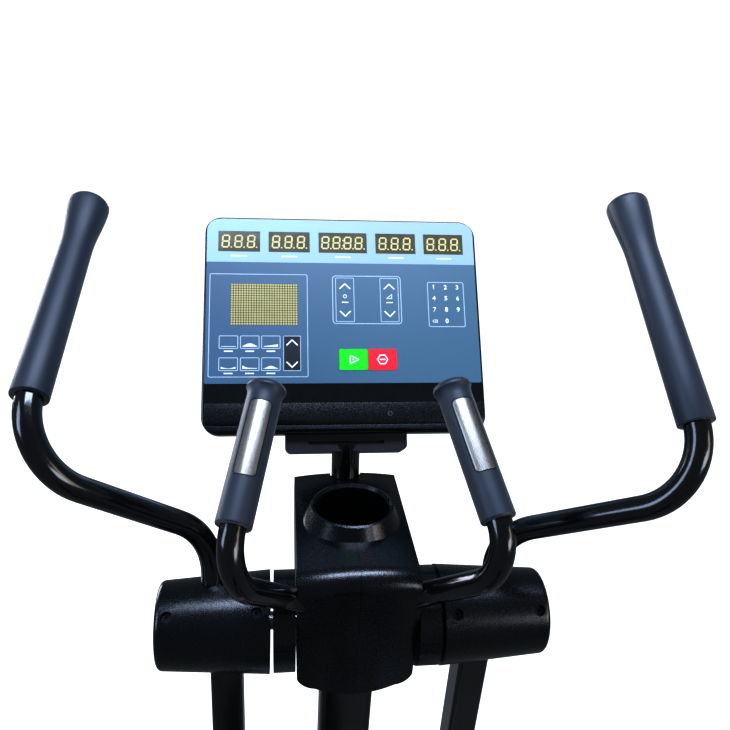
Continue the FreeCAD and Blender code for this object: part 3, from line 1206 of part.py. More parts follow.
def drive_belt():
    """Flat belt, drawn a hair clear of both pulleys."""
    low = PULLEY_MID - BELT_W / 2
    faces = [Part.Face(Part.Wire(belt_outline(grow))) for grow in (BELT_GAP + BELT_T, BELT_GAP)]
    outer, inner = (face.extrude(V(BELT_W, 0, 0)) for face in faces)
    belt = outer.cut(inner)
    belt.translate(V(low, 0, 0))
    return belt


def drive_side_plates():
    """Two upright plates on the beam that carry the crank axle and the flywheel shaft."""
    plates = []
    rear, front = FLYWHEEL.y - PLATE_REAR, CRANK.y + PLATE_FRONT
    outline = ((rear, BEAM_TOP), (rear, FLYWHEEL.z + PLATE_STEP),
               (FLYWHEEL.y, FLYWHEEL.z + PLATE_OVER_SHAFT),
               (CRANK.y, CRANK.z + PLATE_OVER_CRANK), (front, CRANK.z), (front, BEAM_TOP))
    for _, side in SIDES:
        inner, outer = side * SIDE_PLATE_IN, side * (SIDE_PLATE_IN + SIDE_PLATE_T)
        upright = plate_yz(outline, *sorted((inner, outer)))
        flange = box(sorted((side * FLANGE_IN, inner)), (rear, front), (BEAM_TOP, BEAM_TOP + FLANGE_T))
        seats = [rod_x(CRANK_BEARING_R, inner, outer, CRANK.y, CRANK.z),
                 rod_x(SHAFT_BEARING_R, inner, outer, FLYWHEEL.y, FLYWHEEL.z)]
        plates.append(cut(fuse(upright, flange), *seats))
    return group(*plates)


def drive_bearings():
    """Bearing rings of the crank axle and of the flywheel shaft."""
    rings = []
    for _, side in SIDES:
        start = side * SIDE_PLATE_IN
        for outer, inner, centre in ((CRANK_BEARING_R, CRANK_AXLE_R, CRANK),
                                     (SHAFT_BEARING_R, FLYWHEEL_SHAFT_R, FLYWHEEL)):
            rings.append(ring_x(outer, inner + RUN_CLEARANCE, start, start + side * SIDE_PLATE_T,
                                centre.y, centre.z))
    return group(*rings)


def brake_magnet():
    """Curved brake magnet over the flywheel's upper rear, on a bracket from the left side plate."""
    low, high = FLYWHEEL_MID - FLYWHEEL_T / 2, FLYWHEEL_MID + FLYWHEEL_T / 2
    inner = FLYWHEEL_R + MAGNET_GAP
    spread = 2 * inner * math.tan(math.radians(MAGNET_SPAN_DEG / 2))
    wedge = plate_yz(((FLYWHEEL.y, FLYWHEEL.z), (FLYWHEEL.y - spread, FLYWHEEL.z + 2 * inner),
                      (FLYWHEEL.y + spread, FLYWHEEL.z + 2 * inner)), low, high)
    arc = ring_x(inner + MAGNET_T, inner, low, high, FLYWHEEL.y, FLYWHEEL.z).common(wedge)
    reach = FLYWHEEL.z + inner + MAGNET_T
    y_range = (FLYWHEEL.y - STAY_HALF, FLYWHEEL.y + STAY_HALF)
    stay = box((-SIDE_PLATE_IN, high), y_range, (reach - STAY_LAP, reach + STAY_T))
    post = box((-SIDE_PLATE_IN, -SIDE_PLATE_IN + STAY_T), y_range, (FLYWHEEL.z + STAY_FOOT, reach + STAY_T))
    clear = rod_x(inner, low - 1, high + 1, FLYWHEEL.y, FLYWHEEL.z)
    return fuse(arc, stay, post).cut(clear)


def shroud_outline():
    """Side outline of the rear shroud: round the crank pulley and the flywheel, flat on the beam."""
    top = CRANK.z + PULLEY_R + SHROUD_REACH
    rear = FLYWHEEL.y - FLYWHEEL_R - SHROUD_REACH
    front = CRANK.y + PULLEY_R + SHROUD_REACH
    low = BEAM_TOP + SHROUD_LIFT
    return ((rear + SHROUD_TOE, low), (rear, FLYWHEEL.z), (rear + SHROUD_REAR_RUN, top - SHROUD_REAR_DROP),
            (CRANK.y - SHROUD_TOP_BACK, top), (CRANK.y + SHROUD_TOP_FRONT, top - SHROUD_FRONT_DROP),
            (front, CRANK.z + SHROUD_NOSE), (front - SHROUD_HEEL, low))


def shroud_face(inset):
    """Face of the shroud's outline with round corners, inset from its outside."""
    points = [V(0, y, z) for y, z in shroud_outline()]
    block = Part.Face(Part.makePolygon(points + [points[0]])).extrude(V(SHROUD_HALF, 0, 0))
    edges = [e for e in block.Edges if abs(e.tangentAt(e.FirstParameter).x) > 0.99
             and e.CenterOfMass.z > BEAM_TOP + SHROUD_EDGE_ABOVE]
    block = block.makeFillet(SHROUD_CORNER_R, edges)
    face = next(f for f in block.Faces if abs(f.CenterOfMass.x) < 1e-6)
    return face.makeOffset2D(-inset) if inset else face


def shroud_shell(side):
    """One shroud shell, open at the middle and below, with a hole for the crank axle."""
    outer = shroud_face(0).extrude(V(side * SHROUD_HALF, 0, 0))
    rim = [e for e in outer.Edges if abs(e.CenterOfMass.x - side * SHROUD_HALF) < 1e-3
           and e.CenterOfMass.z > BEAM_TOP + SHROUD_EDGE_ABOVE]
    outer = outer.makeFillet(SHROUD_ROUND, rim)
    inner = shroud_face(SHROUD_WALL).extrude(V(side * (SHROUD_HALF - SHROUD_WALL), 0, 0))
    room = inner.BoundBox
    below = box(sorted((0, side * (SHROUD_HALF - SHROUD_WALL))),
                (room.YMin + SHROUD_SILL, room.YMax - SHROUD_SILL),
                (room.ZMin - SHROUD_WALL - BODY_GAP, room.ZMin + BODY_GAP))
    whole = outer.BoundBox
    x_range = sorted((side * -BODY_GAP, side * (SEAT_GAP / 2)))
    seam = box(x_range, (whole.YMin - BODY_GAP, whole.YMax + BODY_GAP), (0, whole.ZMax + BODY_GAP))
    hole = rod_x(CRANK_AXLE_R + SHROUD_AXLE_GAP, 0, side * (SHROUD_HALF + BODY_GAP), CRANK.y, CRANK.z)
    return cut(outer, inner, below, seam, hole)


# ================================================================ assembly
def frame_nodes():
    """Pieces that stand still."""
    shell = housing_shell()
    nodes = {"base_beam": base_beam(), "stretcher_end_caps": end_caps(), "levelling_feet": levelling_feet(),
             "wheel_bolts": group(*(wheel_bolt(side) for _, side in SIDES)),
             "mast": mast(), "pivot_axle": pivot_axle(), "axle_collars": axle_collars(),
             "cup_holder": cup_holder(), "console_post": console_post(),
             "console_bracket": console_bracket(), "console_rear_shell": console_rear_shell(),
             "console_front_shell": console_front_shell(), "console_overlay": console_overlay(),
             "display_windows": display_windows(), "console_board": console_board(),
             "pulse_plates": group(*(pulse_plate(side) for _, side in SIDES)),
             "drive_side_plates": drive_side_plates(), "drive_bearings": drive_bearings(),
             "drive_belt": drive_belt(), "brake_magnet": brake_magnet()}
    for name, middle_y, width in STRETCHERS:
        nodes[name + "_stretcher"] = stretcher(middle_y, width)
    for name, side in SIDES:
        nodes["housing_" + name + "_shell"] = housing_half(shell, side)
        nodes[name + "_fixed_handle"] = fixed_handle(side)
        nodes[name + "_fixed_grip"] = fixed_grip(side)
        nodes["shroud_" + name + "_shell"] = shroud_shell(side)
    return nodes


def moving_nodes():
    """Pieces that move."""
    nodes = {"crank_axle": crank_axle(), "crank_arms": crank_arms(), "crank_pulley": crank_pulley(),
             "flywheel": flywheel()}
    swinging = (("swing_hub", swing_hub), ("hub_bearings", hub_bearings), ("barrel_cover", barrel_cover),
                ("cover_screws", cover_screws), ("handlebar", handlebar), ("handle_grip", handle_grip),
                ("lower_arm", lower_arm))
    riding = (("foot_rail", foot_rail), ("foot_plate", foot_plate), ("link_pin", link_pin),
              ("rail_bearing", rail_bearing))
    for name, side in SIDES:
        for piece, make in swinging:
            nodes[name + "_" + piece] = swing(make(side), name)
        for piece, make in riding:
            nodes[name + "_" + piece] = make(name)
        nodes[name + "_transport_wheel"] = transport_wheel(side)
    for name, middle in KEYS:
        nodes[name] = console_key(middle)
    return nodes


def main():
    """Build every piece and write one STEP file for each."""
    os.makedirs("parts", exist_ok=True)
    nodes = frame_nodes()
    nodes.update(moving_nodes())
    for name, shape in nodes.items():
        shape.exportStep("parts/" + name + ".step")
    print(len(nodes), "nodes; swing", {name: round(LINKAGE[name][2], 3) for name, _ in SIDES})
    for name, _ in SIDES:
        link, pin, _ = LINKAGE[name]
        print(name, "link pin", [round(c, 3) for c in link], "crank pin", [round(c, 3) for c in pin])


main()
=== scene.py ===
"""Looks of an elliptical trainer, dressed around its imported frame.

Lengths are metres in the trainer's own frame: +X is the user's right, +Y points
ahead of the user, +Z is up. Sizes given in millimetres pass through mm().
"""
import json
import logging
import math
from collections.abc import Callable, Sequence
from dataclasses import dataclass
from enum import Enum

import bpy
import numpy as np
from mathutils import Matrix, Vector


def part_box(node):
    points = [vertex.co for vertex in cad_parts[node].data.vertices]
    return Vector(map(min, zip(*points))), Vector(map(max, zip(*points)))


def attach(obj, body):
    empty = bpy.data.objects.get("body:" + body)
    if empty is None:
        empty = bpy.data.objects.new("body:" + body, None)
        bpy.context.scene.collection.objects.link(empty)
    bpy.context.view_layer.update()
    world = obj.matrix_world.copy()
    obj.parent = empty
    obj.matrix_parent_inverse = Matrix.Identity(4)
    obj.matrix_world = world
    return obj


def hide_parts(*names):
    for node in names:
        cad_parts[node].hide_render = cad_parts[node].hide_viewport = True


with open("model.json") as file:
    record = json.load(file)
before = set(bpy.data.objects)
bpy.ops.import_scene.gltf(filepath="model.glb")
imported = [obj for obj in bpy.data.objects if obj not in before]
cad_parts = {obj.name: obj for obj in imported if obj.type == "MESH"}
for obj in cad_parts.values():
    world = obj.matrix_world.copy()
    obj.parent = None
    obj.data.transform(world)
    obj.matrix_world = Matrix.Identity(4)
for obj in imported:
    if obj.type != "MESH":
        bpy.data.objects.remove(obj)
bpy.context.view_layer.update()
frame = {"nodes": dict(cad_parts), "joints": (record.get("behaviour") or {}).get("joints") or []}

logging.basicConfig(level=logging.INFO, format="%(levelname)s %(message)s")
LOG = logging.getLogger("trainer")
SIDES = (("left", -1.0), ("right", 1.0))
Point2 = tuple[float, float]


def mm(value: float) -> float:
    """Millimetres as metres."""
    return value / 1000.0


# ------------------------------------------------------------------ finishes
class Pattern(Enum):
    """How a surface was made, which sets the texture that roughens it."""

    GRAIN = "spark-eroded mould grain"
    PEEL = "orange peel of a sprayed or fused coat"
    BRUSHED = "parallel abrasive strokes"
    CAST = "sand casting"
    PRINT = "screen print on film"


def linear(code: str) -> tuple[float, float, float, float]:
    """Turn an sRGB hex code into a linear colour.

    Args:
        code: six hex digits, with a leading hash.

    Returns:
        Red, green, blue and an alpha of one.
    """
    channels = [int(code[start:start + 2], 16) / 255.0 for start in (1, 3, 5)]
    values = [c / 12.92 if c <= 0.04045 else ((c + 0.055) / 1.055) ** 2.4 for c in channels]
    return (values[0], values[1], values[2], 1.0)


def add_node(tree: bpy.types.NodeTree, kind: str, inputs: dict | None = None, **settings) -> bpy.types.Node:
    """Add a node, set what it is given, and link the outputs it is given.

    Args:
        tree: the node tree.
        kind: the node's type name.
        inputs: socket name or number to a value, or to an output socket to link.
        **settings: attributes of the node itself.

    Returns:
        The new node.
    """
    node = tree.nodes.new(kind)
    for name, value in settings.items():
        setattr(node, name, value)
    for key, value in (inputs or {}).items():
        if isinstance(value, bpy.types.NodeSocket):
            tree.links.new(value, node.inputs[key])
        else:
            node.inputs[key].default_value = value
    return node


@dataclass(frozen=True)
class Finish:
    """One material: its colours, its gloss and the marks of how it was made."""

    name: str
    colour: str
    second: str
    roughness: float
    pattern: Pattern = Pattern.GRAIN
    grain_mm: float = 1.0
    depth_mm: float = 0.05
    mottle_mm: float = 60.0
    spread: float = 0.08
    metallic: float = 0.0
    ior: float = 1.5
    coat: float = 0.0
    sheen: float = 0.0
    glow: float = 0.0
    along: tuple[float, float, float] = (0.0, 0.0, 1.0)

    def coordinates(self, tree: bpy.types.NodeTree) -> bpy.types.NodeSocket:
        """Object coordinates, stretched along the strokes of a brushed surface.

        Args:
            tree: the material's node tree.

        Returns:
            The coordinates' output socket.
        """
        place = add_node(tree, "ShaderNodeTexCoord").outputs["Object"]
        if self.pattern is not Pattern.BRUSHED:
            return place
        stretch = tuple(1.0 - 0.985 * abs(part) for part in self.along)
        return add_node(tree, "ShaderNodeMapping", {"Vector": place, "Scale": stretch}).outputs["Vector"]

    def relief(self, tree: bpy.types.NodeTree, place: bpy.types.NodeSocket) -> bpy.types.NodeSocket:
        """Height of the surface's fine texture, at its real scale.

        Args:
            tree: the material's node tree.
            place: the coordinates to read.

        Returns:
            A height from zero to one.
        """
        scale = 1000.0 / self.grain_mm
        if self.pattern is Pattern.CAST:
            cells = add_node(tree, "ShaderNodeTexVoronoi", {"Vector": place, "Scale": scale})
            return cells.outputs["Distance"]
        detail = 1.0 if self.pattern is Pattern.PEEL else 4.0
        noise = add_node(tree, "ShaderNodeTexNoise", {"Vector": place, "Scale": scale, "Detail": detail})
        return noise.outputs["Fac"]

    def tint(self, tree: bpy.types.NodeTree, place: bpy.types.NodeSocket) -> bpy.types.NodeSocket:
        """Base colour, drifting slowly between the two colours.

        Args:
            tree: the material's node tree.
            place: the coordinates to read.

        Returns:
            The colour's output socket.
        """
        mottle = add_node(tree, "ShaderNodeTexNoise",
                          {"Vector": place, "Scale": 1000.0 / self.mottle_mm, "Detail": 3.0})
        ramp = add_node(tree, "ShaderNodeValToRGB", {"Fac": mottle.outputs["Fac"]})
        low, high = ramp.color_ramp.elements
        low.position, high.position = 0.35, 0.65
        low.color, high.color = linear(self.colour), linear(self.second)
        return ramp.outputs["Color"]

    def build(self) -> bpy.types.Material:
        """Make the material.

        Returns:
            A new node-based material.
        """
        material = bpy.data.materials.new(self.name)
        material.use_nodes = True
        tree = material.node_tree
        tree.nodes.clear()
        place = self.coordinates(tree)
        height = self.relief(tree, place)
        smoothest, roughest = max(self.roughness - self.spread, 0.02), self.roughness + self.spread
        gloss = add_node(tree, "ShaderNodeMapRange",
                         {"Value": height, "From Min": 0.3, "From Max": 0.7,
                          "To Min": smoothest, "To Max": roughest})
        bump = add_node(tree, "ShaderNodeBump",
                        {"Height": height, "Distance": mm(self.depth_mm), "Strength": 1.0})
        colour = self.tint(tree, place)
        shader = add_node(tree, "ShaderNodeBsdfPrincipled",
                          {"Base Color": colour, "Roughness": gloss.outputs["Result"],
                           "Normal": bump.outputs["Normal"], "Metallic": self.metallic,
                           "Coat Weight": self.coat, "Coat Roughness": 0.08, "Sheen Weight": self.sheen,
                           "Sheen Roughness": 0.4, "Emission Strength": self.glow})
        if not self.metallic:
            shader.inputs["IOR"].default_value = self.ior
        if self.glow:
            tree.links.new(colour, shader.inputs["Emission Color"])
        add_node(tree, "ShaderNodeOutputMaterial", {"Surface": shader.outputs["BSDF"]})
        return material


@dataclass(frozen=True)
class PrintedFilm(Finish):
    """Polycarbonate film printed from behind: the colour drifts across the panel."""

    start_x: float = -0.22
    end_x: float = 0.22

    def tint(self, tree: bpy.types.NodeTree, place: bpy.types.NodeSocket) -> bpy.types.NodeSocket:
        """Base colour that runs from the first colour at the left to the second at the right.

        Args:
            tree: the material's node tree.
            place: the coordinates to read.

        Returns:
            The colour's output socket.
        """
        axes = add_node(tree, "ShaderNodeSeparateXYZ", {"Vector": place})
        cloud = add_node(tree, "ShaderNodeTexNoise", {"Vector": place, "Scale": 1000.0 / self.mottle_mm})
        wide = add_node(tree, "ShaderNodeMapRange", {"Value": axes.outputs["X"], "From Min": self.start_x,
                                                     "From Max": self.end_x})
        drift = add_node(tree, "ShaderNodeMath", {0: cloud.outputs["Fac"], 1: 0.5}, operation="MULTIPLY")
        total = add_node(tree, "ShaderNodeMath", {0: wide.outputs["Result"], 1: drift.outputs["Value"]},
                         operation="ADD")
        ramp = add_node(tree, "ShaderNodeValToRGB", {"Fac": total.outputs["Value"]})
        low, high = ramp.color_ramp.elements
        low.position, high.position = 0.2, 1.0
        low.color, high.color = linear(self.colour), linear(self.second)
        return ramp.outputs["Color"]


# grain_mm is the spacing of a surface's marks. Mould grain is about 0.4 mm on the real covers, and film print
# and brushing are finer still, which is too fine to show here, so they are drawn several times coarser.
FINISHES: dict[str, Finish] = {finish.name: finish for finish in (
    # Fused gloss black powder coat on steel tube: deep black, broad bright highlights, faint peel.
    Finish("powder_coat", "#030405", "#050608", 0.17, Pattern.PEEL, 2.6, 0.035, spread=0.05, coat=0.4),
    # Textured black ABS of the covers: satin, with a sparkling grain where light strikes it.
    Finish("textured_abs", "#020304", "#040609", 0.25, Pattern.GRAIN, 1.7, 0.12, spread=0.1, ior=1.48),
    # Shroud ABS: the same grain, a little duller.
    Finish("shroud_abs", "#060709", "#090b0e", 0.42, Pattern.GRAIN, 1.6, 0.14, spread=0.1, ior=1.42),
    # Polished black ABS round the display: mirror-like, with a slow ripple.
    Finish("gloss_abs", "#020406", "#040608", 0.12, Pattern.PEEL, 9.0, 0.03, spread=0.04, coat=0.5),
    # Textured ledge under the display, with a coarse sparkling grain.
    Finish("ledge_abs", "#020305", "#040609", 0.28, Pattern.GRAIN, 2.0, 0.2, spread=0.12),
    # Moulded charcoal ABS of the rear shell: matt, a shade lighter than the front.
    Finish("rear_abs", "#2b2d2f", "#303234", 0.5, Pattern.GRAIN, 1.4, 0.1),
    # Moulded polyamide trim of the end caps and the bracket: matt near-black.
    Finish("trim_nylon", "#0c0d0f", "#101113", 0.42, Pattern.GRAIN, 1.2, 0.08),
    # Screen-printed polycarbonate film, slate blue, satin.
    PrintedFilm("blue_film", "#2a4b66", "#34566c", 0.42, Pattern.PRINT, 0.9, 0.012, 130.0, spread=0.05),
    # Paler band of the same film behind the number windows.
    PrintedFilm("band_film", "#86a8cc", "#829fb8", 0.4, Pattern.PRINT, 0.9, 0.012, 130.0, spread=0.05),
    # Smoked acrylic over the displays: olive brown and glossy.
    Finish("smoked_window", "#46442f", "#3f3e2a", 0.16, Pattern.PEEL, 12.0, 0.01, spread=0.03, coat=0.3),
    # Lamps behind the windows: amber figures and a dimmer gold dot matrix, both faintly lit.
    Finish("amber_lamp", "#c0b474", "#b4a86a", 0.4, Pattern.PRINT, 1.0, 0.01, 20.0, glow=0.12),
    Finish("gold_lamp", "#a0985f", "#a9a268", 0.4, Pattern.PRINT, 1.0, 0.01, 20.0, glow=0.05),
    # Screen-printed inks: white symbols, pale blue lines and black pads, all satin.
    Finish("white_ink", "#e4ebf0", "#d8e2ea", 0.4, Pattern.PRINT, 0.8, 0.01, 15.0),
    Finish("line_ink", "#a8bdd0", "#9db4c8", 0.4, Pattern.PRINT, 0.8, 0.01, 15.0),
    Finish("black_ink", "#10151c", "#0c1016", 0.34, Pattern.PRINT, 0.8, 0.01, 15.0),
    # Printed keys, slightly domed film, with a faint painted glow that makes them look lit though no lamp
    # lies behind them.
    Finish("green_key", "#00c80c", "#00c00c", 0.34, Pattern.PRINT, 0.9, 0.012, 40.0, glow=0.06),
    Finish("red_key", "#f01028", "#e60e24", 0.34, Pattern.PRINT, 0.9, 0.012, 40.0, glow=0.06),
    # Moulded foam rubber of the grips: matt slate with a soft bloom.
    Finish("grip_rubber", "#0a1522", "#0c1825", 0.5, Pattern.GRAIN, 0.9, 0.09, 35.0, sheen=0.15),
    # Moulded black rubber of the feet, wheels, belt and treads: dull, with a fine grain.
    Finish("foot_rubber", "#121212", "#191919", 0.72, Pattern.GRAIN, 1.2, 0.12, sheen=0.1),
    # Stainless pulse plates, brushed along the grip.
    Finish("pulse_steel", "#a39d94", "#8f8981", 0.34, Pattern.BRUSHED, 0.6, 0.012, 25.0, 0.1, 1.0,
           along=(0.0, 0.69, 0.72)),
    # Turned and ground steel of pins, axles and bearings.
    Finish("ground_steel", "#9b9c9e", "#88898b", 0.28, Pattern.BRUSHED, 0.5, 0.01, 20.0, 0.08, 1.0,
           along=(0.0, 0.7, 0.7)),
    # Black-oxide steel screws: dark with a soft metallic edge.
    Finish("black_oxide", "#141517", "#1b1c1e", 0.36, Pattern.PEEL, 1.0, 0.01, metallic=0.6),
    # Sand-cast grey iron flywheel: rough and dull.
    Finish("grey_iron", "#4a4b4c", "#3e3f40", 0.55, Pattern.CAST, 2.2, 0.12, metallic=0.85),
    # Cast aluminium pulley: pale, with a shallow pebbled skin.
    Finish("cast_aluminium", "#a9abad", "#9c9ea0", 0.42, Pattern.CAST, 1.6, 0.05, metallic=1.0),
    # Glass-epoxy circuit board under green solder mask: even and satin.
    Finish("board_laminate", "#0f4426", "#0c3a20", 0.35, Pattern.PRINT, 1.0, 0.02),
    # Moulded polyamide of the foot plates: matt black with a coarse grain.
    Finish("foot_nylon", "#101114", "#17181b", 0.52, Pattern.GRAIN, 1.5, 0.15),
    # Pale studio floor paper: nearly white and matt.
    Finish("studio_paper", "#f6f6f5", "#f4f4f4", 0.9, Pattern.GRAIN, 3.0, 0.05, 400.0),
)}

NODE_FINISH: dict[str, tuple[str, ...]] = {
    "powder_coat": ("base_beam", "front_stretcher", "rear_stretcher", "mast", "left_fixed_handle",
                    "right_fixed_handle", "left_handlebar", "right_handlebar", "left_lower_arm",
                    "right_lower_arm", "left_foot_rail", "right_foot_rail", "crank_arms",
                    "drive_side_plates", "console_post", "left_swing_hub", "right_swing_hub",
                    "brake_magnet"),
    "textured_abs": ("housing_left_shell", "housing_right_shell", "left_barrel_cover",
                     "right_barrel_cover", "axle_collars", "cup_holder"),
    "shroud_abs": ("shroud_left_shell", "shroud_right_shell"),
    "trim_nylon": ("stretcher_end_caps", "console_bracket"),
    "gloss_abs": ("console_front_shell",),
    "rear_abs": ("console_rear_shell",),
    "blue_film": ("console_overlay",),
    "smoked_window": ("display_windows",),
    "board_laminate": ("console_board",),
    "green_key": ("start_key",),
    "red_key": ("stop_key",),
    "grip_rubber": ("left_handle_grip", "right_handle_grip", "left_fixed_grip", "right_fixed_grip"),
    "foot_rubber": ("levelling_feet", "left_transport_wheel", "right_transport_wheel", "drive_belt"),
    "pulse_steel": ("pulse_plates",),
    "ground_steel": ("pivot_axle", "wheel_bolts", "drive_bearings", "left_hub_bearings",
                     "right_hub_bearings", "left_link_pin", "right_link_pin", "left_rail_bearing",
                     "right_rail_bearing", "crank_axle"),
    "black_oxide": ("left_cover_screws", "right_cover_screws"),
    "grey_iron": ("flywheel",),
    "cast_aluminium": ("crank_pulley",),
    "foot_nylon": ("left_foot_plate", "right_foot_plate"),
}


class Wardrobe:
    """Builds each finish once and hands it out."""

    def __init__(self) -> None:
        """Start with nothing built."""
        self._made: dict[str, bpy.types.Material] = {}

    def get(self, name: str) -> bpy.types.Material:
        """The material of a finish, built on first use.

        Args:
            name: the finish's name.

        Returns:
            Its material.
        """
        if name not in self._made:
            self._made[name] = FINISHES[name].build()
        return self._made[name]

    def dress(self, piece: bpy.types.Object, name: str) -> None:
        """Give a piece one finish all over."""
        piece.data.materials.clear()
        piece.data.materials.append(self.get(name))

    def dress_frame(self) -> None:
        """Give every carried-over node its finish."""
        for finish, nodes in NODE_FINISH.items():
            for node in nodes:
                self.dress(frame["nodes"][node], finish)


# ------------------------------------------------------------------ bench
class Bench:
    """Hand tools: each leaves one active object at the origin, unturned and unscaled."""

    @staticmethod
    def clear() -> None:
        """Deselect everything."""
        bpy.ops.object.select_all(action="DESELECT")

    @staticmethod
    def settle(name: str) -> bpy.types.Object:
        """Name the active object and apply its place.

        Args:
            name: the piece's name.

        Returns:
            The active object.
        """
        piece = bpy.context.active_object
        piece.name = name
        bpy.ops.object.transform_apply(location=True, rotation=True, scale=True)
        return piece

    @staticmethod
    def edit(piece: bpy.types.Object, work: Callable[[], None]) -> None:
        """Run edit-mode work with all of the piece selected.

        Args:
            piece: the object to work on.
            work: the operators to run.
        """
        Bench.clear()
        piece.select_set(True)
        bpy.context.view_layer.objects.active = piece
        bpy.ops.object.mode_set(mode="EDIT")
        bpy.ops.mesh.select_all(action="SELECT")
        work()
        bpy.ops.object.mode_set(mode="OBJECT")

    @staticmethod
    def modify(piece: bpy.types.Object, kind: str, **settings) -> None:
        """Add a modifier with its settings and apply it.

        Args:
            piece: the object it works on.
            kind: the modifier's type name.
            **settings: attributes of the modifier.
        """
        Bench.clear()
        piece.select_set(True)
        bpy.context.view_layer.objects.active = piece
        modifier = piece.modifiers.new(kind.lower(), kind)
        for name, value in settings.items():
            setattr(modifier, name, value)
        bpy.ops.object.modifier_apply(modifier=modifier.name)

    @staticmethod
    def join(pieces: Sequence[bpy.types.Object], name: str) -> bpy.types.Object:
        """Join several objects into one mesh.

        Args:
            pieces: the objects, the first of which stays.
            name: the joined piece's name.

        Returns:
            The joined object.
        """
        Bench.clear()
        for piece in pieces:
            piece.select_set(True)
        bpy.context.view_layer.objects.active = pieces[0]
        if len(pieces) > 1:
            bpy.ops.object.join()
        joined = bpy.context.active_object
        joined.name = name
        return joined

    @staticmethod
    def copy(piece: bpy.types.Object, matrix: Matrix) -> bpy.types.Object:
        """Copy a piece with its own mesh, moved in its mesh by a matrix.

        Args:
            piece: the piece to copy.
            matrix: the move.

        Returns:
            The copy.
        """
        twin = piece.copy()
        twin.data = piece.data.copy()
        twin.data.transform(matrix)
        bpy.context.scene.collection.objects.link(twin)
        return twin

    @staticmethod
    def outward(piece: bpy.types.Object) -> None:
        """Merge doubles and turn every face outwards.

        Args:
            piece: the piece to put right.
        """
        def work() -> None:
            """Merge, then turn the faces."""
            bpy.ops.mesh.remove_doubles(threshold=mm(0.01))
            bpy.ops.mesh.normals_make_consistent(inside=False)
        Bench.edit(piece, work)

    @staticmethod
    def smooth(piece: bpy.types.Object, degrees: float = 35.0) -> None:
        """Smooth the shading over gentle edges.

        Args:
            piece: the piece to smooth.
            degrees: edges that turn further than this stay sharp.
        """
        Bench.clear()
        piece.select_set(True)
        bpy.context.view_layer.objects.active = piece
        bpy.ops.object.shade_smooth_by_angle(angle=math.radians(degrees))

    @staticmethod
    def turned(name: str, profile: Sequence[Point2], around: int = 48) -> bpy.types.Object:
        """Turn a profile about Z: a disc, extruded and resized from ring to ring.

        Args:
            name: the piece's name.
            profile: radius and height of each ring in millimetres, from end to end.
            around: number of sides.

        Returns:
            A closed round solid.
        """
        Bench.clear()
        first_r, first_z = profile[0]
        bpy.ops.mesh.primitive_circle_add(vertices=around, radius=mm(first_r), fill_type="NGON",
                                          location=(0.0, 0.0, mm(first_z)))
        piece = Bench.settle(name)

        def work() -> None:
            """Raise each ring from the last and set its radius."""
            radius, height = first_r, first_z
            for next_r, next_z in profile[1:]:
                rise = (0, 0, mm(next_z - height))
                bpy.ops.mesh.extrude_region_move(TRANSFORM_OT_translate={"value": rise})
                share = next_r / radius
                bpy.ops.transform.resize(value=(share, share, 1.0), center_override=(0.0, 0.0, mm(next_z)))
                radius, height = next_r, next_z
        Bench.edit(piece, work)
        Bench.outward(piece)
        Bench.smooth(piece)
        return piece

    @staticmethod
    def slab(name: str, size: Sequence[float], centre: Sequence[float], edge: float,
             segments: int = 3) -> bpy.types.Object:
        """Block with rounded edges.

        Args:
            name: the piece's name.
            size: width, depth and height in millimetres.
            centre: middle point in millimetres.
            edge: rounding radius in millimetres.
            segments: steps in each rounding.

        Returns:
            A closed block.
        """
        Bench.clear()
        bpy.ops.mesh.primitive_cube_add(size=1.0, location=[mm(c) for c in centre],
                                        scale=[mm(s) for s in size])
        piece = Bench.settle(name)
        Bench.edit(piece, lambda: bpy.ops.mesh.bevel(offset=mm(edge), segments=segments, affect="EDGES"))
        Bench.smooth(piece)
        return piece


def finish_piece(piece: bpy.types.Object, wardrobe: Wardrobe, finish: str, body: str,
                 replaces: Sequence[str] = ()) -> bpy.types.Object:
    """Dress a piece, hang it on its body and log it.

    Args:
        piece: the finished mesh, in place.
        wardrobe: where materials come from.
        finish: the name of its finish.
        body: the body it moves with.
        replaces: nodes it stands for.

    Returns:
        The same piece.
    """
    wardrobe.dress(piece, finish)
    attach(piece, body)
    if replaces:
        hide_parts(*replaces)
    LOG.info("%s: %d faces on %s", piece.name, len(piece.data.polygons), body)
    return piece


def points_of(node: str) -> np.ndarray:
    """All vertices of a node, one row each.

    Args:
        node: the node's name.

    Returns:
        An array of three columns, in metres.
    """
    flat = np.zeros(len(frame["nodes"][node].data.vertices) * 3)
    frame["nodes"][node].data.vertices.foreach_get("co", flat)
    return flat.reshape(-1, 3)


def long_axis(node: str) -> Matrix:
    """Frame of a long round node: its lower end's middle, with Z along it.

    Args:
        node: the node's name.

    Returns:
        A matrix that carries a piece built up from the origin onto the node.
    """
    cloud = points_of(node)
    low, high = cloud.min(0), cloud.max(0)
    spread = np.cov((cloud - cloud.mean(0)).T)
    direction = Vector(np.linalg.eigh(spread)[1][:, 2])
    direction = direction if direction.z > 0 else -direction
    reach = cloud @ np.array(direction)
    ring = cloud[reach < reach.min() + mm(4.0)]
    middle = Vector((ring.min(0) + ring.max(0)) / 2)
    base = middle - direction * (middle.dot(direction) - reach.min())
    LOG.info("%s spans %.3f m", node, float(np.linalg.norm(high - low)))
    across = Vector((1.0, 0.0, 0.0))
    y_axis = direction.cross(across).normalized()
    x_axis = y_axis.cross(direction)
    turn = Matrix((x_axis, y_axis, direction)).transposed().to_4x4()
    return Matrix.Translation(base) @ turn


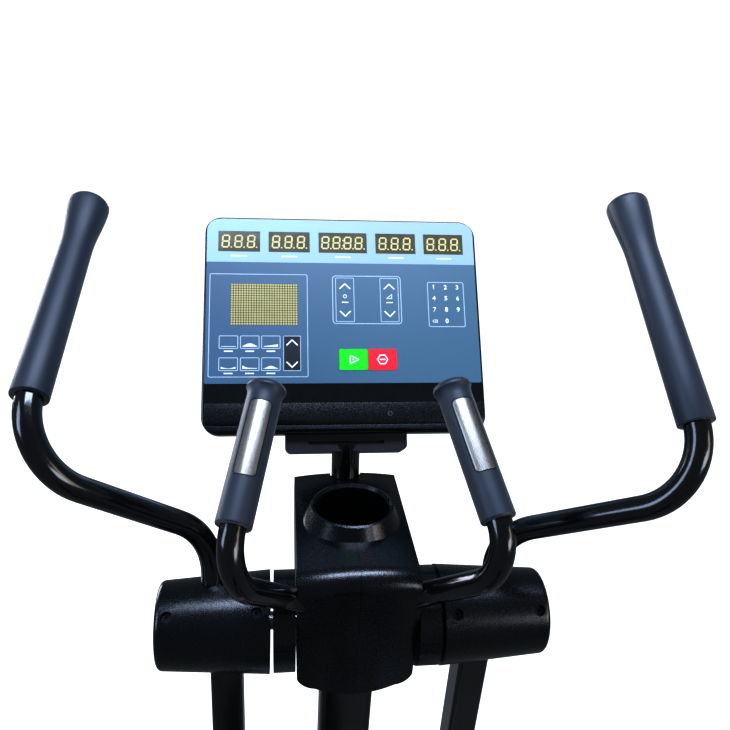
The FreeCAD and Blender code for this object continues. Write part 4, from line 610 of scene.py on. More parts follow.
# ------------------------------------------------------------------ console
@dataclass
class PanelPlace:
    """Where the console's face is: x across, y up the face, z out of it."""

    matrix: Matrix
    film: float = 0.8

    @classmethod
    def from_frame(cls) -> "PanelPlace":
        """Read the panel's slope from the start key's travel and its corner from the front shell.

        Returns:
            The panel's place.
        """
        joint = next(j for j in frame["joints"] if j["name"] == "start_key_press")
        normal = -Vector(joint["axis"]).normalized()
        across = Vector((1.0, 0.0, 0.0))
        up = normal.cross(across)
        shell = points_of("console_front_shell")
        low = float((shell @ np.array(up)).min())
        face = float((shell @ np.array(normal)).max())
        turn = Matrix((across, up, normal)).transposed().to_4x4()
        return cls(Matrix.Translation(up * low + normal * face) @ turn)


class Ink:
    """Flat shapes in millimetres on the panel, gathered and printed as one thin piece."""

    def __init__(self, panel: PanelPlace) -> None:
        """Start with an empty sheet."""
        self.panel = panel
        self.shapes: list[bpy.types.Object] = []

    def _plane(self, size: Point2, centre: Point2, turn: float = 0.0) -> bpy.types.Object:
        """Add a rectangle to the sheet.

        Args:
            size: width and height.
            centre: its middle.
            turn: turn in radians.

        Returns:
            The rectangle.
        """
        Bench.clear()
        bpy.ops.mesh.primitive_plane_add(size=1.0, location=(mm(centre[0]), mm(centre[1]), 0.0),
                                         rotation=(0.0, 0.0, turn))
        bpy.context.active_object.scale = (mm(size[0]), mm(size[1]), 1.0)
        shape = Bench.settle("ink_shape")
        self.shapes.append(shape)
        return shape

    def pad(self, size: Point2, centre: Point2, radius: float = 0.0) -> None:
        """Filled rectangle with round corners.

        Args:
            size: width and height.
            centre: its middle.
            radius: of the corners.
        """
        shape = self._plane(size, centre)
        if radius:
            Bench.edit(shape, lambda: bpy.ops.mesh.bevel(offset=mm(radius), segments=5, affect="VERTICES"))

    def arch(self, size: Point2, centre: Point2, radius: float) -> None:
        """Filled rectangle whose two upper corners are round.

        Args:
            size: width and height.
            centre: its middle.
            radius: of the upper corners.
        """
        shape = self._plane(size, centre)

        def work() -> None:
            """Bevel only the upper corners."""
            bpy.ops.mesh.select_all(action="DESELECT")
            bpy.ops.object.mode_set(mode="OBJECT")
            for vertex in shape.data.vertices:
                vertex.select = vertex.co.y > mm(centre[1])
            bpy.ops.object.mode_set(mode="EDIT")
            bpy.ops.mesh.bevel(offset=mm(radius), segments=8, affect="VERTICES")
        Bench.edit(shape, work)

    def outline(self, size: Point2, centre: Point2, radius: float, stroke: float) -> None:
        """Rectangle drawn as a line with round corners.

        Args:
            size: width and height.
            centre: its middle.
            radius: of the corners.
            stroke: width of the line.
        """
        shape = self._plane(size, centre)

        def work() -> None:
            """Round the corners, inset the line and open the middle."""
            bpy.ops.mesh.bevel(offset=mm(radius), segments=5, affect="VERTICES")
            bpy.ops.mesh.inset(thickness=mm(stroke))
            bpy.ops.mesh.delete(type="FACE")
        Bench.edit(shape, work)

    def bar(self, start: Point2, end: Point2, width: float) -> None:
        """Straight stroke between two points, with square ends that overlap at a corner.

        Args:
            start: first point.
            end: last point.
            width: of the stroke.
        """
        across, up = end[0] - start[0], end[1] - start[1]
        length = math.hypot(across, up) + width * 0.5
        middle = ((start[0] + end[0]) / 2, (start[1] + end[1]) / 2)
        self._plane((length, width), middle, math.atan2(up, across))

    def chain(self, points: Sequence[Point2], width: float) -> None:
        """Stroke through several points."""
        for start, end in zip(points, points[1:]):
            self.bar(start, end, width)

    def disc(self, radius: float, centre: Point2, sides: int = 16) -> None:
        """Filled disc or regular polygon.

        Args:
            radius: to its corners.
            centre: its middle.
            sides: number of sides.
        """
        Bench.clear()
        bpy.ops.mesh.primitive_circle_add(vertices=sides, radius=mm(radius), fill_type="NGON",
                                          location=(mm(centre[0]), mm(centre[1]), 0.0))
        self.shapes.append(Bench.settle("ink_shape"))

    def ring(self, radius: float, centre: Point2, stroke: float, sides: int = 16, turn: float = 0.0) -> None:
        """Circle or regular polygon drawn as a line.

        Args:
            radius: to its corners.
            centre: its middle.
            stroke: width of the line.
            sides: number of sides.
            turn: turn in radians.
        """
        Bench.clear()
        bpy.ops.mesh.primitive_circle_add(vertices=sides, radius=mm(radius), fill_type="NGON",
                                          location=(mm(centre[0]), mm(centre[1]), 0.0),
                                          rotation=(0.0, 0.0, turn))
        shape = Bench.settle("ink_shape")

        def work() -> None:
            """Inset the line and open the middle."""
            bpy.ops.mesh.inset(thickness=mm(stroke))
            bpy.ops.mesh.delete(type="FACE")
        Bench.edit(shape, work)
        self.shapes.append(shape)

    def numeral(self, text: str, height: float, centre: Point2) -> None:
        """Number key's figure.

        Args:
            text: the figure.
            height: of the figure.
            centre: its middle.
        """
        Bench.clear()
        bpy.ops.object.text_add(location=(0.0, 0.0, 0.0))
        letters = bpy.context.active_object
        letters.data.body = text
        letters.data.size = mm(height * 1.4)
        letters.data.align_x = "CENTER"
        letters.data.align_y = "CENTER"
        letters.data.resolution_u = 3
        letters.data.offset = mm(0.32)
        bpy.ops.object.convert(target="MESH")
        shape = Bench.settle("ink_shape")
        shape.data.transform(Matrix.Translation((mm(centre[0]), mm(centre[1]), 0.0)))
        self.shapes.append(shape)

    def repeat(self, first: int, offsets: Sequence[Point2]) -> None:
        """Copy every shape from a number onwards to each offset.

        Args:
            first: number of the first shape to copy.
            offsets: moves across and up.
        """
        model = self.shapes[first:]
        for across, up in offsets:
            shift = Matrix.Translation((mm(across), mm(up), 0.0))
            self.shapes.extend(Bench.copy(shape, shift) for shape in model)

    def print(self, name: str, base: float, thickness: float) -> bpy.types.Object:
        """Join the sheet and set it on the panel.

        Args:
            name: the piece's name.
            base: height of its underside above the panel's face, in millimetres.
            thickness: of the ink, in millimetres.

        Returns:
            A thin closed piece in place.
        """
        piece = Bench.join(self.shapes, name)
        Bench.edit(piece, lambda: bpy.ops.mesh.remove_doubles(threshold=mm(0.001)))
        Bench.modify(piece, "SOLIDIFY", thickness=mm(thickness), offset=1.0)
        lift = Matrix.Translation((0.0, 0.0, mm(base)))
        piece.data.transform(self.panel.matrix @ lift)
        return piece


@dataclass
class ConsoleGraphics:
    """Everything printed or lit on the console's face. Sizes in millimetres."""

    wardrobe: Wardrobe
    panel: PanelPlace
    half_width: float = 223.0
    band_low: float = 284.0
    band_high: float = 359.0
    corner: float = 24.0
    windows: tuple[tuple[float, int], ...] = ((-170.8, 3), (-89.0, 3), (0.0, 4), (89.0, 3), (170.8, 3))
    wide_window: float = 81.0
    window: float = 68.0
    window_low: float = 302.0
    window_height: float = 36.0
    digit_height: float = 23.0
    digit_width: float = 13.5
    digit_pitch: float = 20.5
    wide_digit_pitch: float = 18.6
    digit_stroke: float = 2.4
    digit_slant: float = 0.07
    programme_x: tuple[float, ...] = (-186.0, -152.4, -119.0)
    programme_y: Point2 = (148.5, 112.4)
    programme_key: Point2 = (30.4, 21.8)
    hill_y: Point2 = (144.0, 108.0)
    hill_width: float = 23.0
    hill_height: float = 6.4
    hill_bars: int = 12
    caption_y: Point2 = (133.6, 97.4)
    level_key: Point2 = (-85.2, 130.2)
    adjust_x: Point2 = (1.9, 75.6)
    chevron_width: float = 17.0
    chevron_rise: float = 8.5
    chevron_stroke: float = 2.0
    line: float = 1.1
    pad_x: tuple[float, ...] = (150.8, 171.0, 191.0)
    pad_y: tuple[float, ...] = (243.4, 223.9, 204.4, 184.8)
    pad_figure: float = 7.6
    matrix_centre: Point2 = (-129.7, 212.0)
    matrix_size: Point2 = (107.7, 70.0)
    matrix_dots: tuple[int, int] = (26, 17)
    dot_share: float = 0.74
    start_x: float = 14.2
    stop_x: float = 60.8
    key_y: float = 119.7
    key_rise: float = 0.82
    ink_base: float = 0.72
    ink: float = 0.16

    def build(self) -> None:
        """Print the band, the lines, the symbols and the lamps."""
        self.band()
        self.lines()
        self.symbols()
        self.level_pad()
        self.digits()
        self.matrix()
        self.key_symbols()

    def _place(self, sheet: Ink, name: str, finish: str, layer: float,
               body: str = "root") -> None:
        """Print a sheet at a layer above the film.

        Args:
            sheet: the shapes.
            name: the piece's name.
            finish: its finish.
            layer: height above the film.
            body: the body it moves with.
        """
        piece = sheet.print(name, self.ink_base + layer, self.ink)
        finish_piece(piece, self.wardrobe, finish, body)

    def band(self) -> None:
        """Paler band behind the number windows, as strips around them."""
        sheet = Ink(self.panel)
        top = self.window_low + self.window_height
        edges = [-self.half_width]
        for middle, count in self.windows:
            half = self.wide_window / 2 if count == 4 else self.window / 2
            edges += [middle - half, middle + half]
        edges.append(self.half_width)
        window_y = self.window_low + self.window_height / 2
        for start, end in zip(edges[::2], edges[1::2]):
            sheet.pad((end - start, self.window_height), ((start + end) / 2, window_y))
        lower = self.window_low - self.band_low
        sheet.pad((2 * self.half_width, lower), (0.0, self.band_low + lower / 2))
        upper = self.band_high - top
        sheet.arch((2 * self.half_width, upper), (0.0, top + upper / 2), min(self.corner, upper - 0.5))
        self._place(sheet, "overlay_band", "band_film", 0.10)

    def lines(self) -> None:
        """Panel and key outlines."""
        sheet = Ink(self.panel)
        sheet.outline((158.0, 172.5), (-138.5, 177.4), 3.0, self.line)
        for up in self.programme_y:
            for middle in self.programme_x:
                sheet.outline(self.programme_key, (middle, up), 2.0, self.line)
        sheet.outline((28.2, 58.0), self.level_key, 1.5, 0.9)
        sheet.outline((114.5, 83.0), (38.2, 220.8), 6.0, 1.2)
        for middle in (1.7, 75.5):
            sheet.outline((31.0, 76.0), (middle, 220.8), 2.0, 1.0)
        sheet.outline((62.0, 78.0), (171.0, 213.8), 3.0, self.line)
        self._place(sheet, "overlay_lines", "line_ink", 0.13)

    def chevron(self, sheet: Ink, centre: Point2, up: int) -> None:
        """Arrow head that points up or down.

        Args:
            sheet: where it is drawn.
            centre: its middle.
            up: one to point up, minus one to point down.
        """
        x, y = centre
        half, rise = self.chevron_width / 2, up * self.chevron_rise / 2
        sheet.chain(((x - half, y - rise), (x, y + rise), (x + half, y - rise)), self.chevron_stroke)

    def symbols(self) -> None:
        """White chevrons, icons, hills, caption bars and the number pad's figures."""
        sheet = Ink(self.panel)
        for middle in self.adjust_x:
            self.chevron(sheet, (middle, 244.0), 1)
            self.chevron(sheet, (middle, 196.8), -1)
            sheet.pad((11.0, 1.6), (middle, 216.3), 0.5)
        sheet.ring(3.2, (1.9, 226.6), 1.0)
        sheet.chain(((71.0, 223.2), (79.5, 223.2), (79.5, 230.4), (71.0, 223.2)), 1.0)
        self.chevron(sheet, (self.level_key[0], 148.0), 1)
        self.chevron(sheet, (self.level_key[0], 111.5), -1)
        self.hills(sheet)
        for middle, _ in self.windows:
            sheet.pad((26.0, 2.0), (middle, 294.6), 0.6)
        for middle in self.programme_x:
            for up in self.caption_y:
                sheet.pad((14.0, 2.0), (middle, up), 0.6)
        self.number_pad(sheet)
        self._place(sheet, "overlay_symbols", "white_ink", 0.17)

    def hills(self, sheet: Ink) -> None:
        """Small programme profiles: a row of bars under a curve in each programme key.

        Args:
            sheet: where they are drawn.
        """
        shapes: tuple[Callable[[float], float], ...] = (
            lambda t: 0.12, lambda t: 0.75 * math.sin(math.pi * t) + 0.1, lambda t: 0.5 * t + 0.12,
            lambda t: 0.5 - 0.4 * math.sin(math.pi * t), lambda t: 0.75 * math.exp(-5 * t) + 0.15,
            lambda t: 0.6 * math.sin(math.pi * t) ** 2 + 0.12)
        centres = [(x, y) for y in self.hill_y for x in self.programme_x]
        for (middle, up), height in zip(centres, shapes):
            for step in range(self.hill_bars):
                share = (step + 0.5) / self.hill_bars
                tall = self.hill_height * max(height(share), 0.08)
                sheet.pad((1.75, tall), (middle + self.hill_width * (share - 0.5), up - 3.0 + tall / 2))

    def number_pad(self, sheet: Ink) -> None:
        """Figures one to nine and zero, with a clear mark.

        Args:
            sheet: where they are drawn.
        """
        for number in range(9):
            place = (self.pad_x[number % 3], self.pad_y[number // 3])
            sheet.numeral(str(number + 1), self.pad_figure, place)
        sheet.numeral("0", self.pad_figure, (self.pad_x[1], self.pad_y[3]))
        x, y = self.pad_x[0], self.pad_y[3]
        sheet.chain(((x - 4.0, y), (x - 1.5, y + 2.2), (x + 4.0, y + 2.2), (x + 4.0, y - 2.2),
                     (x - 1.5, y - 2.2), (x - 4.0, y)), 0.7)
        sheet.chain(((x + 0.2, y - 1.0), (x + 2.2, y + 1.0)), 0.6)
        sheet.chain(((x + 0.2, y + 1.0), (x + 2.2, y - 1.0)), 0.6)

    def level_pad(self) -> None:
        """Black two-way key beside the programme keys."""
        sheet = Ink(self.panel)
        sheet.pad((26.4, 56.4), self.level_key, 1.0)
        self._place(sheet, "overlay_level_pad", "black_ink", 0.08)

    def digits(self) -> None:
        """Seven-bar figures with their points in each number window."""
        sheet = Ink(self.panel)
        width, height = self.digit_width, self.digit_height
        half_w, half_h, stroke, gap = width / 2 - 1.4, height / 2 - 1.4, self.digit_stroke, 1.5
        sheet.bar((-half_w + gap, half_h), (half_w - gap, half_h), stroke)
        sheet.bar((-half_w + gap, 0.0), (half_w - gap, 0.0), stroke)
        sheet.bar((-half_w + gap, -half_h), (half_w - gap, -half_h), stroke)
        for x in (-half_w, half_w):
            sheet.bar((x, gap), (x, half_h - gap), stroke)
            sheet.bar((x, -half_h + gap), (x, -gap), stroke)
        sheet.disc(1.3, (width / 2 + 3.0, -half_h))
        middle_y = self.window_low + self.window_height / 2
        offsets = []
        for middle, count in self.windows:
            pitch = self.wide_digit_pitch if count == 4 else self.digit_pitch
            first = middle - pitch * (count - 1) / 2 - 1.2
            offsets += [(first + pitch * number, middle_y) for number in range(count)]
        slant = Matrix.Shear("XZ", 4, (0.0, 0.0))
        slant[0][1] = self.digit_slant
        for shape in sheet.shapes:
            shape.data.transform(slant)
        home = sheet.shapes
        sheet.shapes = list(home)
        sheet.repeat(0, offsets[1:])
        for shape in home:
            shape.data.transform(Matrix.Translation((mm(offsets[0][0]), mm(offsets[0][1]), 0.0)))
        for up in (-4.5, 4.5):
            sheet.disc(1.2, (0.3, middle_y + up))
        self._place(sheet, "display_digits", "amber_lamp", 0.04)

    def matrix(self) -> None:
        """Dot matrix: one small dot, arrayed both ways."""
        columns, rows = self.matrix_dots
        wide, high = self.matrix_size
        pitch_x, pitch_y = wide / columns, high / rows
        Bench.clear()
        bpy.ops.mesh.primitive_plane_add(size=1.0)
        bpy.context.active_object.scale = (mm(pitch_x * self.dot_share), mm(pitch_y * self.dot_share), 1.0)
        dot = Bench.settle("display_matrix_dots")
        Bench.edit(dot, lambda: bpy.ops.mesh.bevel(offset=mm(0.5), segments=1, affect="VERTICES"))
        Bench.modify(dot, "SOLIDIFY", thickness=mm(self.ink), offset=1.0)
        for count, step in ((columns, (mm(pitch_x), 0.0, 0.0)), (rows, (0.0, mm(pitch_y), 0.0))):
            Bench.modify(dot, "ARRAY", count=count, use_relative_offset=False, use_constant_offset=True,
                         constant_offset_displace=step)
        corner = (mm(self.matrix_centre[0] - wide / 2 + pitch_x / 2),
                  mm(self.matrix_centre[1] - high / 2 + pitch_y / 2), mm(self.ink_base + 0.04))
        dot.data.transform(self.panel.matrix @ Matrix.Translation(corner))
        finish_piece(dot, self.wardrobe, "gold_lamp", "root")

    def key_symbols(self) -> None:
        """Outline triangle on the start key and outline hexagon on the stop key."""
        start = Ink(self.panel)
        x, y = self.start_x, self.key_y
        start.chain(((x - 6.2, y - 6.8), (x + 8.0, y), (x - 6.2, y + 6.8), (x - 6.2, y - 6.8)), 1.6)
        start.disc(1.8, (x - 1.6, y), 3)
        self._place(start, "start_symbol", "white_ink", self.key_rise, "start_key")
        stop = Ink(self.panel)
        stop.ring(9.2, (self.stop_x, y), 1.7, 6, math.radians(30.0))
        stop.pad((9.0, 2.0), (self.stop_x, y), 0.6)
        self._place(stop, "stop_symbol", "white_ink", self.key_rise, "stop_key")


@dataclass
class ConsoleBody:
    """Ledge, socket, screws and rear details of the console. Sizes in millimetres."""

    wardrobe: Wardrobe
    panel: PanelPlace
    ledge_width: float = 444.0
    ledge_low: float = 5.0
    ledge_high: float = 49.0
    ledge_rise: float = 3.2
    ledge_sunk: float = 2.0
    ledge_corner: float = 18.0
    ledge_edge: float = 2.2
    socket_place: tuple[float, float, float] = (70.0, 31.0, 1.4)
    vent_size: tuple[float, float, float] = (150.0, 3.2, 2.4)
    vent_low: float = 205.0
    vent_pitch: float = 9.0
    vent_rows: int = 9
    vent_depth: float = -46.6
    vent_edge: float = 1.1
    screw_x: tuple[float, ...] = (-196.0, 0.0, 196.0)
    screw_y: Point2 = (32.0, 331.0)
    screw_depth: float = -45.7

    def build(self) -> None:
        """Make the ledge, the socket and the rear."""
        self.ledge()
        self.jack()
        self.rear_vents()
        self.rear_screws()

    def _set(self, piece: bpy.types.Object) -> None:
        """Move a piece from the panel's frame into place."""
        piece.data.transform(self.panel.matrix)

    def ledge(self) -> None:
        """Raised textured pad across the foot of the face, with rounded lower corners."""
        height = self.ledge_high - self.ledge_low
        middle = (0.0, self.ledge_low + height / 2, (self.ledge_rise - self.ledge_sunk) / 2)
        Bench.clear()
        bpy.ops.mesh.primitive_cube_add(size=1.0, location=[mm(c) for c in middle])
        bpy.context.active_object.scale = (mm(self.ledge_width), mm(height),
                                           mm(self.ledge_rise + self.ledge_sunk))
        pad = Bench.settle("console_ledge")
        self._round_corners(pad, mm(self.ledge_low), mm(self.ledge_corner))
        Bench.modify(pad, "BEVEL", width=mm(self.ledge_edge), segments=4, limit_method="ANGLE",
                     angle_limit=math.radians(50))
        Bench.smooth(pad, 30.0)
        self._set(pad)
        finish_piece(pad, self.wardrobe, "ledge_abs", "root")

    @staticmethod
    def _round_corners(piece: bpy.types.Object, low: float, radius: float) -> None:
        """Round the two upright edges at the lower side of a block.

        Args:
            piece: the block.
            low: its lower side, in metres.
            radius: of the rounding, in metres.
        """
        def work() -> None:
            """Pick the upright edges at the lower side and bevel them."""
            bpy.ops.mesh.select_all(action="DESELECT")
            bpy.ops.object.mode_set(mode="OBJECT")
            vertices = piece.data.vertices
            for edge in piece.data.edges:
                a, b = (vertices[index].co for index in edge.vertices)
                edge.select = abs(a.y - low) < 1e-5 and abs(b.y - low) < 1e-5 and abs(a.z - b.z) > 1e-5
            bpy.ops.object.mode_set(mode="EDIT")
            bpy.ops.mesh.select_mode(type="EDGE")
            bpy.ops.mesh.bevel(offset=radius, segments=8, affect="EDGES")
            bpy.ops.mesh.select_mode(type="VERT")
        Bench.edit(piece, work)

    def jack(self) -> None:
        """Small round socket on the ledge."""
        profile = ((4.4, 0.0), (4.4, 1.4), (3.6, 2.2), (2.4, 2.2), (2.0, 0.4))
        socket = Bench.turned("console_socket", profile, 24)
        socket.data.transform(Matrix.Translation([mm(part) for part in self.socket_place]))
        self._set(socket)
        finish_piece(socket, self.wardrobe, "ground_steel", "root")

    def rear_vents(self) -> None:
        """Rows of raised vent slats on the rear shell."""
        slats = []
        for row in range(self.vent_rows):
            centre = (0.0, self.vent_low + self.vent_pitch * row, self.vent_depth)
            slats.append(Bench.slab("console_rear_vents", self.vent_size, centre, self.vent_edge))
        vents = Bench.join(slats, "console_rear_vents")
        self._set(vents)
        finish_piece(vents, self.wardrobe, "rear_abs", "root")

    def rear_screws(self) -> None:
        """Pan-head screws at the rear shell's corners."""
        profile = ((5.2, 0.0), (5.2, 0.7), (4.2, 2.2), (2.6, 2.6), (2.2, 2.6), (2.0, 1.4))
        model = Bench.turned("console_rear_screws", profile, 20)
        model.data.transform(Matrix.Rotation(math.pi, 4, "X"))
        screws = []
        for x in self.screw_x:
            for y in self.screw_y:
                screws.append(Bench.copy(model, Matrix.Translation((mm(x), mm(y), mm(self.screw_depth)))))
        bpy.data.objects.remove(model)
        joined = Bench.join(screws, "console_rear_screws")
        self._set(joined)
        finish_piece(joined, self.wardrobe, "black_oxide", "root")


# ------------------------------------------------------------------ grips
@dataclass
class MovingGrip:
    """Long foam-rubber grip: tapered waist, flared head, mould seam. Sizes in millimetres."""

    wardrobe: Wardrobe
    name: str
    low_r: float = 22.6
    waist_r: float = 21.2
    flare_r: float = 27.6
    edge_r: float = 8.0
    crown: float = 3.0
    flare_run: float = 78.0
    cuff: float = 1.4
    seam: float = 0.55
    seam_width: float = 1.3

    def profile(self, length: float) -> list[Point2]:
        """Radius and height of each ring from the cuff to the top.

        Args:
            length: the grip's length.

        Returns:
            The rings, from end to end.
        """
        rings = [(17.0, 0.3), (self.low_r - 1.2, 0.0), (self.low_r - 0.3, 0.4), (self.low_r, self.cuff)]
        head = length - self.edge_r - self.crown
        waist = head - self.flare_run
        for share in (0.25, 0.5, 0.75, 1.0):
            radius = self.low_r + (self.waist_r - self.low_r) * share
            rings.append((radius, self.cuff + (waist - self.cuff) * share))
        for share in (0.15, 0.3, 0.45, 0.6, 0.75, 0.9, 1.0):
            swell = share * share * (3 - 2 * share)
            radius = self.waist_r + (self.flare_r - self.waist_r) * swell
            rings.append((radius, waist + self.flare_run * share))
        inner = self.flare_r - self.edge_r
        for degrees in (18, 36, 54, 72):
            turn = math.radians(degrees)
            rings.append((inner + self.edge_r * math.cos(turn), head + self.edge_r * math.sin(turn)))
        for share in (0.85, 0.6, 0.35, 0.12):
            rings.append((inner * share, length - self.crown * share * share))
        return rings

    def build(self) -> None:
        """Turn the grip, lay its seam on it and set it on its handlebar."""
        node = self.name + "_handle_grip"
        place = long_axis(node)
        cloud = points_of(node) @ np.array(place.col[2][:3])
        length = float(cloud.max() - cloud.min()) * 1000.0
        rings = self.profile(length)
        grip = Bench.turned(self.name + "_grip_sleeve", rings, 56)
        seams = [self.seam_strip(rings, turn) for turn in (0.5 * math.pi, -0.5 * math.pi)]
        piece = Bench.join([grip, *seams], self.name + "_grip_sleeve")
        Bench.smooth(piece, 40.0)
        piece.data.transform(place)
        finish_piece(piece, self.wardrobe, "grip_rubber", self.name + "_swing", (node,))

    def seam_strip(self, rings: Sequence[Point2], turn: float) -> bpy.types.Object:
        """Fine raised mould line along one side of the grip.

        Args:
            rings: the grip's rings.
            turn: where round the grip it lies, in radians.

        Returns:
            The strip.
        """
        body = list(rings[3:-6])
        Bench.clear()
        bpy.ops.mesh.primitive_plane_add(size=1.0)
        bpy.context.active_object.scale = (mm(self.seam_width), mm(self.seam * 2), 1.0)
        strip = Bench.settle("seam")
        strip.data.transform(Matrix.Translation((0.0, mm(body[0][0]), mm(body[0][1]))))

        def work() -> None:
            """Extrude the strip from ring to ring."""
            for (r0, z0), (r1, z1) in zip(body, body[1:]):
                bpy.ops.mesh.extrude_region_move(
                    TRANSFORM_OT_translate={"value": (0.0, mm(r1 - r0), mm(z1 - z0))})
        Bench.edit(strip, work)
        Bench.outward(strip)
        strip.data.transform(Matrix.Rotation(turn, 4, "Z"))
        return strip


# ------------------------------------------------------------------ steelwork details
@dataclass
class Steelwork:
    """Welds, nuts and caps on the frame, the arms and the rails. Sizes in millimetres."""

    wardrobe: Wardrobe
    bead: float = 3.4
    bead_pitch: float = 0.9
    beam_round: float = 12.0
    link_nut: Point2 = (20.0, 8.0)
    foot_nut: Point2 = (17.0, 6.0)
    foot_nut_drop: float = 6.2
    rail_cap_r: float = 22.0
    dome_r: float = 20.0
    dome_rise: float = 4.0
    dome_foot: float = 3.4

    def build(self) -> None:
        """Make the weld beads, nuts and caps."""
        self.mast_weld()
        self.stretcher_welds()
        self.foot_nuts()
        for name, side in SIDES:
            self.link_nuts(name, side)
            self.rail_cap(name, side)
            self.crank_cap(name, side)

    def weld_path(self, corners: Sequence[Vector], name: str) -> bpy.types.Object:
        """Bead of small overlapping drops along a closed path.

        Args:
            corners: the corners of the path.
            name: the piece's name.

        Returns:
            The bead as one mesh.
        """
        Bench.clear()
        bpy.ops.mesh.primitive_ico_sphere_add(subdivisions=2, radius=mm(self.bead))
        drop = Bench.settle("drop")
        flat = Matrix.Diagonal((1.0, 1.0, 0.8, 1.0))
        drops = []
        for start, end in zip(corners, [*corners[1:], corners[0]]):
            run = end - start
            count = max(2, round(run.length / mm(self.bead * self.bead_pitch)))
            for step in range(count):
                drops.append(Bench.copy(drop, Matrix.Translation(start + run * (step / count)) @ flat))
        bpy.data.objects.remove(drop)
        bead = Bench.join(drops, name)
        Bench.smooth(bead, 60.0)
        return bead

    def mast_weld(self) -> None:
        """Bead round the mast's foot on the beam."""
        beam_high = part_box("base_beam")[1].z
        cloud = points_of("mast")
        foot = cloud[cloud[:, 2] < beam_high + mm(1.0)]
        low, high = foot.min(0), foot.max(0)
        z = beam_high + mm(0.5)
        corners = [Vector((low[0], low[1], z)), Vector((high[0], low[1], z)),
                   Vector((high[0], high[1], z)), Vector((low[0], high[1], z))]
        bead = self.weld_path(corners, "mast_weld")
        finish_piece(bead, self.wardrobe, "powder_coat", "root")

    def stretcher_welds(self) -> None:
        """Beads where the beam meets the two stretchers."""
        low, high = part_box("base_beam")
        beads = []
        for y in (low.y, high.y):
            top = high.z - mm(self.beam_round)
            corners = [Vector((low.x, y, low.z)), Vector((high.x, y, low.z)),
                       Vector((high.x, y, top)), Vector((low.x, y, top))]
            beads.append(self.weld_path(corners, "stretcher_welds"))
        bead = Bench.join(beads, "stretcher_welds")
        finish_piece(bead, self.wardrobe, "powder_coat", "root")

    def hexagon(self, name: str, across: float, height: float) -> bpy.types.Object:
        """Chamfered hex nut or bolt head, standing on the origin along Z.

        Args:
            name: the piece's name.
            across: size across the flats.
            height: of the nut.

        Returns:
            The nut.
        """
        radius = across / 2 / math.cos(math.radians(30.0))
        profile = ((radius * 0.9, 0.0), (radius, 0.8), (radius, height - 1.0), (radius * 0.88, height),
                   (radius * 0.5, height), (radius * 0.42, height - 0.8))
        piece = Bench.turned(name, profile, 6)
        Bench.smooth(piece, 20.0)
        return piece

    @staticmethod
    def facing(point: Vector, side: float) -> Matrix:
        """Matrix that stands a Z-built piece on a point, facing out to one side."""
        return Matrix.Translation(point) @ Matrix.Rotation(side * math.pi / 2, 4, "Y")

    def link_nuts(self, name: str, side: float) -> None:
        """Lock nut over the outer end of a link pin.

        Args:
            name: left or right.
            side: minus one or one.
        """
        low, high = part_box(name + "_link_pin")
        middle = (low + high) / 2
        middle.x = high.x if side > 0 else low.x
        nut = self.hexagon(name + "_link_nut", *self.link_nut)
        nut.data.transform(self.facing(middle - Vector((side * mm(1.0), 0, 0)), side))
        finish_piece(nut, self.wardrobe, "ground_steel", name + "_rail")

    def rail_cap(self, name: str, side: float) -> None:
        """Domed cap over the outer face of a rail's rear bearing.

        Args:
            name: left or right.
            side: minus one or one.
        """
        low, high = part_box(name + "_rail_bearing")
        middle = (low + high) / 2
        middle.x = (high.x if side > 0 else low.x) + side * mm(1.0)
        rings = [(self.rail_cap_r, 0.0), (self.rail_cap_r, 2.2), (20.4, self.dome_foot)]
        for turn in (math.radians(degrees) for degrees in (25, 50, 75)):
            rings.append((self.dome_r * math.cos(turn), self.dome_foot + self.dome_rise * math.sin(turn)))
        cap = Bench.turned(name + "_rail_cap", rings, 40)
        cap.data.transform(self.facing(middle, side))
        finish_piece(cap, self.wardrobe, "trim_nylon", name + "_rail")

    def crank_cap(self, name: str, side: float) -> None:
        """Cap over the crank axle's end.

        Args:
            name: left or right.
            side: minus one or one.
        """
        low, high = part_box("crank_axle")
        middle = (low + high) / 2
        middle.x = (high.x if side > 0 else low.x) - side * mm(0.5)
        profile = ((17.5, 0.0), (17.5, 2.0), (16.0, 3.6), (12.0, 4.4), (5.0, 4.7), (4.2, 3.9))
        cap = Bench.turned(name + "_crank_cap", profile, 36)
        cap.data.transform(self.facing(middle, side))
        finish_piece(cap, self.wardrobe, "trim_nylon", "crank")

    def foot_nuts(self) -> None:
        """Hex lock nut under the stretcher on each levelling foot."""
        nuts = []
        cloud = points_of("levelling_feet")
        top = float(cloud[:, 2].max())
        for sign_x in (-1, 1):
            for sign_y in (-1, 1):
                corner = cloud[(cloud[:, 0] * sign_x > 0) & (cloud[:, 1] * sign_y > 0)]
                middle = (corner.min(0) + corner.max(0)) / 2
                nut = self.hexagon("levelling_nuts", *self.foot_nut)
                place = (middle[0], middle[1], top - mm(self.foot_nut_drop))
                nut.data.transform(Matrix.Translation(place))
                nuts.append(nut)
        joined = Bench.join(nuts, "levelling_nuts")
        finish_piece(joined, self.wardrobe, "ground_steel", "root")


